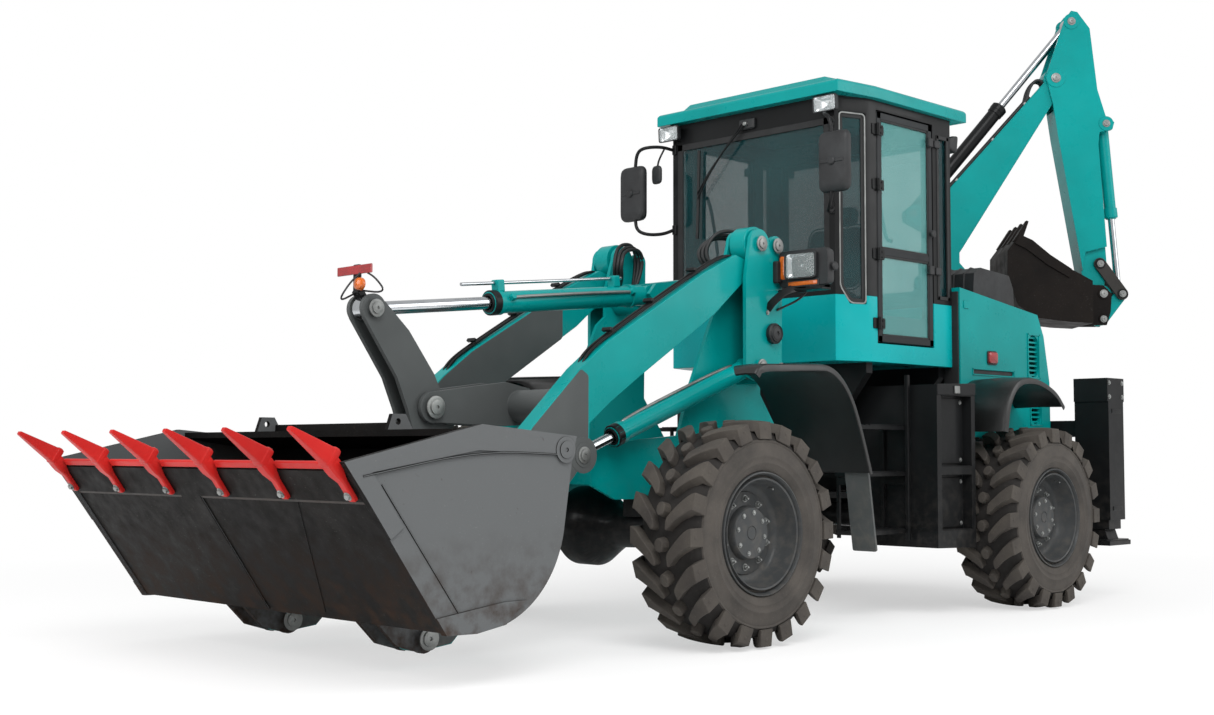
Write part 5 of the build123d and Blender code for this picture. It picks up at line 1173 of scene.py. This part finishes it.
# ------------------------------------------------------------------ front lamps
def head_lamps():
    """Head lamps in swollen housings on bent brackets, their markers and leads, stop blocks and the horn."""
    for name, side in SIDES:
        body = "front_chassis"
        outer = oblong(0.330, 0.196, 0.030, (side * 0.772, 1.908))
        shell = ((0.60, 0.0), (0.80, 0.004), (0.95, 0.030), (1.0, 0.060), (1.0, 0.088), (0.985, 0.094),
                 (0.001, 0.094))
        made = piece(f"headlamp_housing_{name}", body, BLACK_PLASTIC,
                     swell(outer, shell, at(0.455, 0, 0), (0, 1, 0), UP), smooth=30)
        if side > 0:
            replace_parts(made, "headlamps")
        square_lamp(f"headlamp_{name}", body, at(0.578, side * 0.772, 1.918), (1, side * 0.05, 0), 0.205,
                    0.142, 0.075, 0.8)
        marker(f"side_marker_{name}", body, at(0.549, side * 0.640, 1.915), (0, 1, 0), UP, 0.034, 0.125,
               AMBER)
        marker(f"turn_marker_{name}", body, at(0.549, side * 0.775, 1.824), (0, 1, 0), UP, 0.195, 0.022,
               AMBER, 0.012)
        knob = [(0.012, 0.0), (0.012, 0.010), (0.022, 0.012), (0.024, 0.022), (0.018, 0.030), (0.0, 0.031)]
        piece(f"headlamp_knob_{name}", body, BLACK_PLASTIC,
              turned(knob, at(0.505, side * 0.930, 1.905), (0, side, 0), 24))
        flat = oblong(0.050, 0.010, 0.004)
        under = bent(mirrored(side, (0.640, 0.604, 1.690), (0.632, 0.640, 1.735), (0.570, 0.690, 1.795),
                              (0.520, 0.770, 1.806)))
        piece(f"headlamp_bracket_{name}", body, BLACK_PAINT, carried(under, flat, (1, 0, 0.2)))
        piece(f"headlamp_shelf_{name}", body, BLACK_PAINT,
              box(*mirrored(side, (0.470, 0.606, 1.786), (0.560, 0.900, 1.798)), 0.002, 0.01))
        heads = [at(0.640 - d, side * 0.604, 1.672 + d) for d in (0.0, 0.03)]
        bolts(f"headlamp_bolts_{name}", body, heads, (0, side, 0), 0.009, 0.007)
        lead = mirrored(side, (0.460, 0.760, 1.880), (0.425, 0.740, 1.850), (0.430, 0.680, 1.760),
                        (0.560, 0.602, 1.690))
        hose(f"headlamp_lead_{name}", body, lead, 0.006)
        stop = ((0.92, 0.0), (1.0, 0.004), (1.0, 0.026), (0.9, 0.032), (0.001, 0.032))
        piece(f"stop_block_{name}", body, SEAL_RUBBER,
              swell(oblong(0.036, 0.120, 0.01, (-side * 0.573, 1.893)), stop, at(0, side * 0.600, 0),
                    (-side, 0, 0), UP), caps=False)
    horn = [(0.0, 0.002), (0.052, 0.002), (0.056, 0.008), (0.056, 0.026), (0.048, 0.034), (0.030, 0.040),
            (0.012, 0.042), (0.010, 0.036), (0.0, 0.036)]
    piece("horn", "front_chassis", BLACK_PLASTIC, turned(horn, at(0.600, 0.600, 1.560), (0, 1, 0), 36),
          smooth=40)
    rings = [[(r, 0.033), (r + 0.003, 0.040), (r + 0.006, 0.033)] for r in (0.020, 0.032, 0.043)]
    for number, ring in enumerate(rings):
        piece(f"horn_ring_{number}", "front_chassis", BLACK_PLASTIC,
              turned(ring, at(0.600, 0.600, 1.560), (0, 1, 0), 36), loop=True)


head_lamps()

# ------------------------------------------------------------------ hood, fenders, steps
FENDERS = (                    # name, body, outer edge, and (x, z, inner edge) along the fender
    ("front", "front_chassis", 1.170, (
        (1.425, 1.296, 1.040), (1.390, 1.342, 1.000), (1.200, 1.350, 0.880), (0.960, 1.362, 0.640),
        (0.840, 1.364, 0.604), (0.730, 1.310, 0.604), (0.630, 1.195, 0.604), (0.560, 1.040, 0.604),
        (0.510, 0.910, 0.604), (0.478, 0.822, 0.604))),
    ("rear", "rear_chassis", 1.098, (
        (-0.927, 1.050, 0.752), (-0.957, 1.208, 0.752), (-1.040, 1.326, 0.752), (-1.150, 1.372, 0.752),
        (-1.300, 1.374, 0.752), (-1.440, 1.340, 0.752), (-1.558, 1.288, 0.752), (-1.636, 1.214, 0.752))),
)


def fender(line, outer, side):
    """Pressed fender: a section with a rolled outer lip, carried along a line of (x, z, inner edge)."""
    line = bent(line, 2)
    ahead = np.gradient(line[:, [0, 1]], axis=0)
    ahead = ahead / np.linalg.norm(ahead, axis=1, keepdims=True)
    up = np.stack([ahead[:, 1], -ahead[:, 0]], axis=1)
    up = up * np.sign(up[len(up) // 2, 1])
    wide = outer - line[:, 2]
    section = ((0.0, 0.0), (0.5, 0.006), (0.94, 0.002), (0.985, -0.004), (1.0, -0.016), (1.0, -0.034),
               (0.99, -0.036), (0.988, -0.020), (0.97, -0.012), (0.94, -0.009), (0.5, -0.006),
               (0.0, -0.012))
    rows = []
    for across, lift in section:
        rows.append(np.stack([line[:, 0] + up[:, 0] * lift, side * (line[:, 2] + wide * across),
                              line[:, 1] + up[:, 1] * lift], axis=1))
    return np.stack(rows, axis=1) + at(0, 0, 0)


def hood_trim():
    """Side lamps, lips of the slots and grilles, the strip behind the cab, and the four fenders."""
    for name, side in SIDES:
        facing_out = ((-side, 0, 0), UP)
        marker(f"side_lamp_{name}", "rear_chassis", at(-1.364, side * 0.750, 1.512), *facing_out, 0.098,
               0.070, RED_LENS, 0.020)
        lip = ring_frame(oblong(0.490, 0.044, 0.0005, (1.385 * side, 1.420)), at(0, side * 0.7495, 0),
                         *facing_out, 0.008, 0.006, 0.020)
        piece(f"slot_lip_{name}", "rear_chassis", TEAL, lip, loop=True)
        side_plate(f"slot_shade_{name}", "rear_chassis", BLACK_PLASTIC,
                   rectangle(-1.618, 1.408, -1.152, 1.432), 0.7385, 0.004, side, 0.006, 0.001)
        for number, (x, z, wide, high) in enumerate(((-1.868, 1.545, 0.130, 0.270),
                                                     (-1.890, 1.215, 0.130, 0.210))):
            ring = ring_frame(oblong(wide + 0.020, high + 0.020, 0.0005, (-x * side, z)),
                              at(0, side * 0.7495, 0), *facing_out, 0.010, 0.007, 0.070)
            piece(f"grille_lip_{number}_{name}", "rear_chassis", TEAL, ring, loop=True)
        piece(f"cab_hood_strip_{name}", "rear_chassis", SEAL_RUBBER,
              box(*mirrored(side, (-1.0105, 0.640, 1.100), (-0.999, 0.742, 1.900)), 0.002, 0.004))
        side_plate(f"hood_hinge_{name}", "rear_chassis", TEAL, rectangle(-1.110, 1.800, -1.050, 1.850),
                   0.7495, 0.006, side, 0.010)
        for tag, body, outer, line in FENDERS:
            made = piece(f"{tag}_fender_shell_{name}", body, FENDER_PLASTIC, fender(line, outer, side),
                         smooth=40)
            if side > 0:
                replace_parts(made, tag + "_fenders")
        heads = [at(x, side * y, z) for x, y, z in ((1.12, 0.96, 1.3545), (1.12, 1.08, 1.3545),
                                                    (0.90, 0.70, 1.3600), (0.90, 0.84, 1.3600))]
        bolts(f"fender_bolts_{name}", "front_chassis", heads, UP, 0.010, 0.008)


def steps_and_boxes():
    """Treads, posts, panels, bolts and latches of the step boxes, and the flaps behind the front wheels."""
    for name, side in SIDES:
        body = "rear_chassis"
        grips = [(at(-0.345, side * y, z), at(-0.020, side * (y + 0.014), z + 0.007))
                 for z in (0.4895, 0.8135, 1.0755) for y in (0.640, 0.675, 0.710, 0.745, 0.778)]
        bars(f"tread_grips_{name}", body, BLACK_PAINT, grips)
        square = oblong(0.024, 0.024, 0.006)
        post = np.linspace(at(-0.350, side * 0.813, 0.430), at(-0.350, side * 0.813, 1.366), 2)
        piece(f"step_post_{name}", body, BLACK_PAINT, carried(post, square, (1, 0, 0)), edge=0.0015)
        for tag, low, high in (("low", 0.500, 0.782), ("top", 0.862, 1.236)):
            side_plate(f"box_panel_{tag}_{name}", body, BLACK_PAINT, rectangle(-0.722, low, -0.438, high),
                       0.9295, 0.008, side, 0.015)
        corners = [at(x, side * 0.9375, z) for x in (-0.700, -0.460) for z in (0.522, 0.760, 0.884, 1.214)]
        bolts(f"box_bolts_{name}", body, corners, (0, side, 0), 0.009, 0.006)
        band = [(-0.7765, 1.258), (-0.379, 1.250), (-0.379, 1.312), (-0.7765, 1.326)]
        side_plate(f"box_band_{name}", body, BLACK_PAINT, band, 0.9895, 0.006, side, 0.006)
        latch = box(*mirrored(side, (-0.600, 0.9945, 1.262), (-0.548, 1.006, 1.306)), 0.003, 0.006)
        piece(f"box_latch_{name}", body, ZINC, latch)
        grips = [(at(-0.730, side * y, z), at(-0.426, side * (y + 0.010), z + 0.006))
                 for z in (0.4855, 0.8455) for y in (0.940, 0.960, 0.978)]
        bars(f"box_grips_{name}", body, BLACK_PAINT, grips)
        plate = stacked([oblong(0.150, 0.440, 0.012)] * 2, [0.0, 0.014], at(0.424, side * 1.050, 0.630),
                        (0, side, 0), unit((0.16, 0, 1.0)))
        piece(f"flap_bracket_{name}", "front_chassis", GREY_PAINT, plate, edge=0.002)
        side_plate(f"flap_web_{name}", "front_chassis", BLACK_PAINT,
                   [(0.390, 0.420), (0.310, 0.440), (0.360, 0.820), (0.462, 0.822)], 0.975, 0.010, side,
                   0.010)
        heads = [at(0.356 + 0.16 * (z - 0.43), side * 0.985, z) for z in (0.520, 0.720)]
        bolts(f"flap_bolts_{name}", "front_chassis", heads, (0, side, 0), 0.013, 0.010)


def stabiliser_trim():
    """Bolts, pads, guides, foot plates and pins of the stabiliser legs."""
    for name, side in SIDES:
        heads = [at(x, side * 1.1195, z) for x in (-2.325, -2.155) for z in (1.285, 1.375)]
        bolts(f"leg_cap_bolts_{name}", "rear_chassis", heads, (0, side, 0), 0.011, 0.008)
        slots = [box(*mirrored(side, (-2.300, 1.118, z), (-2.180, 1.124, z + 0.028)), 0.002, 0.006)
                 for z in (0.560, 1.180)]
        piece(f"leg_pads_{name}", "rear_chassis", BLACK_PAINT, slots)
        foot = stacked([oblong(0.276, 0.244, 0.03)] * 2, [0.0, 0.008], at(-2.240, side * 1.010, 0.3695),
                       (1, 0, 0), (0, 1, 0))
        piece(f"foot_plate_{name}", "stabiliser_" + name, BLACK_PAINT, foot, edge=0.002)
        pin_heads(f"foot_pins_{name}", "stabiliser_" + name, [at(-2.240, side * 1.030, 0.425)],
                  (-1, 0, 0), 0.022, 0.010)
        rolls = [box(*mirrored(side, (-2.3445, 0.90, z), (-2.3295, 1.10, z + 0.030)), 0.003, 0.006)
                 for z in (0.500, 1.225)]
        piece(f"leg_guides_{name}", "rear_chassis", BLACK_PAINT, rolls)


hood_trim()
steps_and_boxes()
stabiliser_trim()

# ------------------------------------------------------------------ digging arm
HOE_PINS = (                   # body, reach and height of the pin, half the width across it, pin radius
    ("dipper", 1.105, 4.118, 0.1000, 0.030), ("dipper", 0.983, 3.693, 0.1000, 0.036),
    ("dipper", 1.349, 3.353, 0.1000, 0.028), ("guide_link", 1.290, 2.314, 0.0920, 0.026),
    ("guide_link", 1.449, 2.092, 0.0920, 0.026), ("hoe_bucket", 1.310, 2.093, 0.0920, 0.030),
    ("hoe_bucket", 1.306, 1.906, 0.0920, 0.026), ("boom", 0.400, 2.120, 0.0750, 0.030),
    ("boom", -0.075, 2.684, 0.0750, 0.030),
)
HOE_PIPES = (-0.045, -0.015, 0.015, 0.045)     # across the digging arm
HOE_CYLINDERS = (              # name, base and eye as (reach, height), the gland's distance and radius
    ("crowd", (-0.075, 2.684), (1.105, 4.118), 1.016, 0.056, BLACK_PAINT),
    ("hoe_bucket", (1.349, 3.353), (1.449, 2.092), 0.656, 0.047, TEAL),
    ("boom", (0.430, 0.700), (0.400, 2.120), 0.706, 0.053, BLACK_PAINT),
)


def digging_arm():
    """Bosses and pins, glands, pipes in clips, hoses and weld beads of the digging arm."""
    for number, (body, reach, height, half, radius) in enumerate(HOE_PINS):
        for side in (1, -1):
            wide = 1.4 if body in ("guide_link", "hoe_bucket") else 1.9
            boss = [(radius * 0.9, 0.0), (radius * wide, 0.0), (radius * (wide + 0.05), 0.003),
                    (radius * (wide - 0.05), 0.006), (radius * 0.9, 0.006)]
            paint = HOE_STEEL if body == "hoe_bucket" else TEAL if body in ("dipper", "boom") else BLACK_PAINT
            place = hoe(reach, height, side * (half - 0.0005))
            piece(f"hoe_boss_{number}_{side}", body, paint, turned(boss, place, ACROSS * side, 32), loop=True)
            pin_heads(f"hoe_pin_{number}_{side}", body, [place + ACROSS * side * 0.005], ACROSS * side,
                      radius * 0.66, 0.013)
    for tag, base, eye, distance, radius, finish in HOE_CYLINDERS:
        gland(tag + "_gland", tag + "_barrel", hoe(*base), hoe(*eye), distance, radius, finish)
    for number, across in enumerate(HOE_PIPES):
        for tag, radius, finish, line in (
                ("pipe", 0.008, BLACK_PAINT, ((0.112, 1.44), (0.050, 1.475), (-0.012, 2.22), (-0.010, 2.43),
                                              (0.050, 2.465))),
                ("upper_pipe", 0.012, HOSE_RUBBER, ((0.160, 2.845), (0.500, 3.226), (0.800, 3.562)))):
            hose(f"boom_{tag}_{number}", "boom", [hoe(*point, across) for point in line], radius, finish)
    for number, (reach, height) in enumerate(((0.250, 2.940), (0.520, 3.243), (0.760, 3.512))):
        along = unit(OUT * 0.83 + UP * 0.93)
        place = hoe(reach, height) - along * 0.012
        piece(f"boom_clip_{number}", "boom", ZINC, slab(oblong(0.124, 0.022, 0.006, (0, 0.004)), place,
                                                        ACROSS, np.cross(ACROSS, along) * -1, 0.024))
    for number, across in enumerate(HOE_PIPES):
        loop = [hoe(0.780, 3.540, across), hoe(0.805, 3.640, across * 0.9),
                hoe(0.865, 3.705, across * 0.8), hoe(0.935, 3.650, across * 0.8)]
        hose(f"elbow_hose_{number}", "boom", loop, 0.011)
    for name, first, last in (("boom_weld", (0.075, 2.735), (0.905, 3.662)),
                              ("boom_weld_under", (0.262, 2.400), (0.955, 3.500))):
        hose(name, "boom", [hoe(*first, 0.0745), hoe(*last, 0.0745)], 0.0035, TEAL)
    for side in (1, -1):
        swing_pin = [(0.050, 0.0), (0.062, 0.0), (0.062, 0.012), (0.054, 0.018), (0.030, 0.020), (0.0, 0.020)]
        piece(f"swing_pin_{side}", "swing_post", ZINC,
              turned(swing_pin, SWING + UP * (1.132 if side > 0 else 0.484), UP * side, 32))
    for tag, side in (("", 1), ("_far", -1)):
        foot = hoe(0.200, 1.000, side * 0.108)
        bolts("boom_foot_pin" + tag, "swing_post", [foot], ACROSS * side, 0.034, 0.016)


digging_arm()

# ------------------------------------------------------------------ camera, floor and light
CAMERA_FROM_PIVOT = (7.041, 5.823, 0.919)
CAMERA_HEADING = 3.93          # radians from +X towards +Y
CAMERA_TILT = 0.062            # upwards
CAMERA_ROLL = 0.002
CAMERA_LENS_MM = 45.64
SKY_LIGHT = 0.62


def camera():
    """Camera by its heading, tilt and roll: its back faces against the line of sight."""
    sight = np.array([np.cos(CAMERA_TILT) * np.cos(CAMERA_HEADING),
                      np.cos(CAMERA_TILT) * np.sin(CAMERA_HEADING), np.sin(CAMERA_TILT)])
    right = np.cross(sight, UP)
    right = right / np.linalg.norm(right)
    upward = np.cross(right, sight)
    level = right * np.cos(CAMERA_ROLL) + upward * np.sin(CAMERA_ROLL)
    upward = upward * np.cos(CAMERA_ROLL) - right * np.sin(CAMERA_ROLL)
    lens = bpy.data.cameras.new("camera")
    lens.lens = CAMERA_LENS_MM
    lens.sensor_width = 36.0
    lens.clip_end = 200.0
    shown = bpy.data.objects.new("camera", lens)
    bpy.context.scene.collection.objects.link(shown)
    place = np.eye(4)
    place[:3, :3] = np.stack([level, upward, -sight], axis=1)
    place[:3, 3] = at(*CAMERA_FROM_PIVOT)
    shown.matrix_world = Matrix(place.tolist())
    bpy.context.scene.camera = shown


def lamp(name, place, aim, size, watts):
    """Square soft box at place that faces aim."""
    light = bpy.data.lights.new(name, "AREA")
    light.energy = watts
    light.size = size
    shown = bpy.data.objects.new(name, light)
    bpy.context.scene.collection.objects.link(shown)
    away = np.array(place, float) - np.array(aim, float)
    away = away / np.linalg.norm(away)
    side = np.cross(UP, away)
    side = side / np.linalg.norm(side)
    frame_of = np.eye(4)
    frame_of[:3, :3] = np.stack([side, np.cross(away, side), away], axis=1)
    frame_of[:3, 3] = place
    shown.matrix_world = Matrix(frame_of.tolist())


def studio():
    """Pale floor that fades into an even white sky, and three soft boxes."""
    reach = 60.0
    ground = bpy.data.meshes.new("floor")
    ground.from_pydata([(-reach, -reach, 0), (reach, -reach, 0), (reach, reach, 0), (-reach, reach, 0)], [],
                       [(0, 1, 2, 3)])
    floor = bpy.data.objects.new("floor", ground)
    bpy.context.scene.collection.objects.link(floor)
    made, tree, shader, place = start("matt_studio_floor")
    shader.inputs["Base Color"].default_value = linear("#ffffff")
    shader.inputs["Roughness"].default_value = 0.9
    shader.inputs["Specular IOR Level"].default_value = 0.1
    far = add(tree, "VectorMath", settings={"operation": "LENGTH"}, links={0: place}).outputs["Value"]
    white = add(tree, "Emission", inputs={"Color": linear("#ffffff"), "Strength": 1.0})
    fade = ramp(tree, far, 2.2, 7.0, 0.55, 1.0)
    seen = add(tree, "LightPath").outputs["Is Camera Ray"]
    both = add(tree, "MixShader", links={0: product(tree, fade, seen), 1: shader.outputs["BSDF"],
                                         2: white.outputs["Emission"]})
    tree.links.new(both.outputs["Shader"], tree.nodes["Material Output"].inputs["Surface"])
    ground.materials.append(made)

    world = bpy.data.worlds.new("studio")
    bpy.context.scene.world = world
    world.use_nodes = True
    tree = world.node_tree
    sky = tree.nodes["Background"]
    sky.inputs["Color"].default_value = linear("#ffffff")
    strength = ramp(tree, add(tree, "LightPath").outputs["Is Camera Ray"], 0.0, 1.0, SKY_LIGHT, 1.0)
    tree.links.new(strength, sky.inputs["Strength"])
    middle = at(0.5, 0, 1.2)
    lamp("key_soft_box", at(6.0, 6.5, 8.5), middle, 6.0, 760)
    lamp("side_soft_box", at(-5.5, 8.0, 5.5), middle, 6.0, 260)
    lamp("front_soft_box", at(10.0, -1.5, 4.5), middle, 5.0, 260)


camera()
studio()
bpy.context.scene.view_settings.view_transform = "Standard"
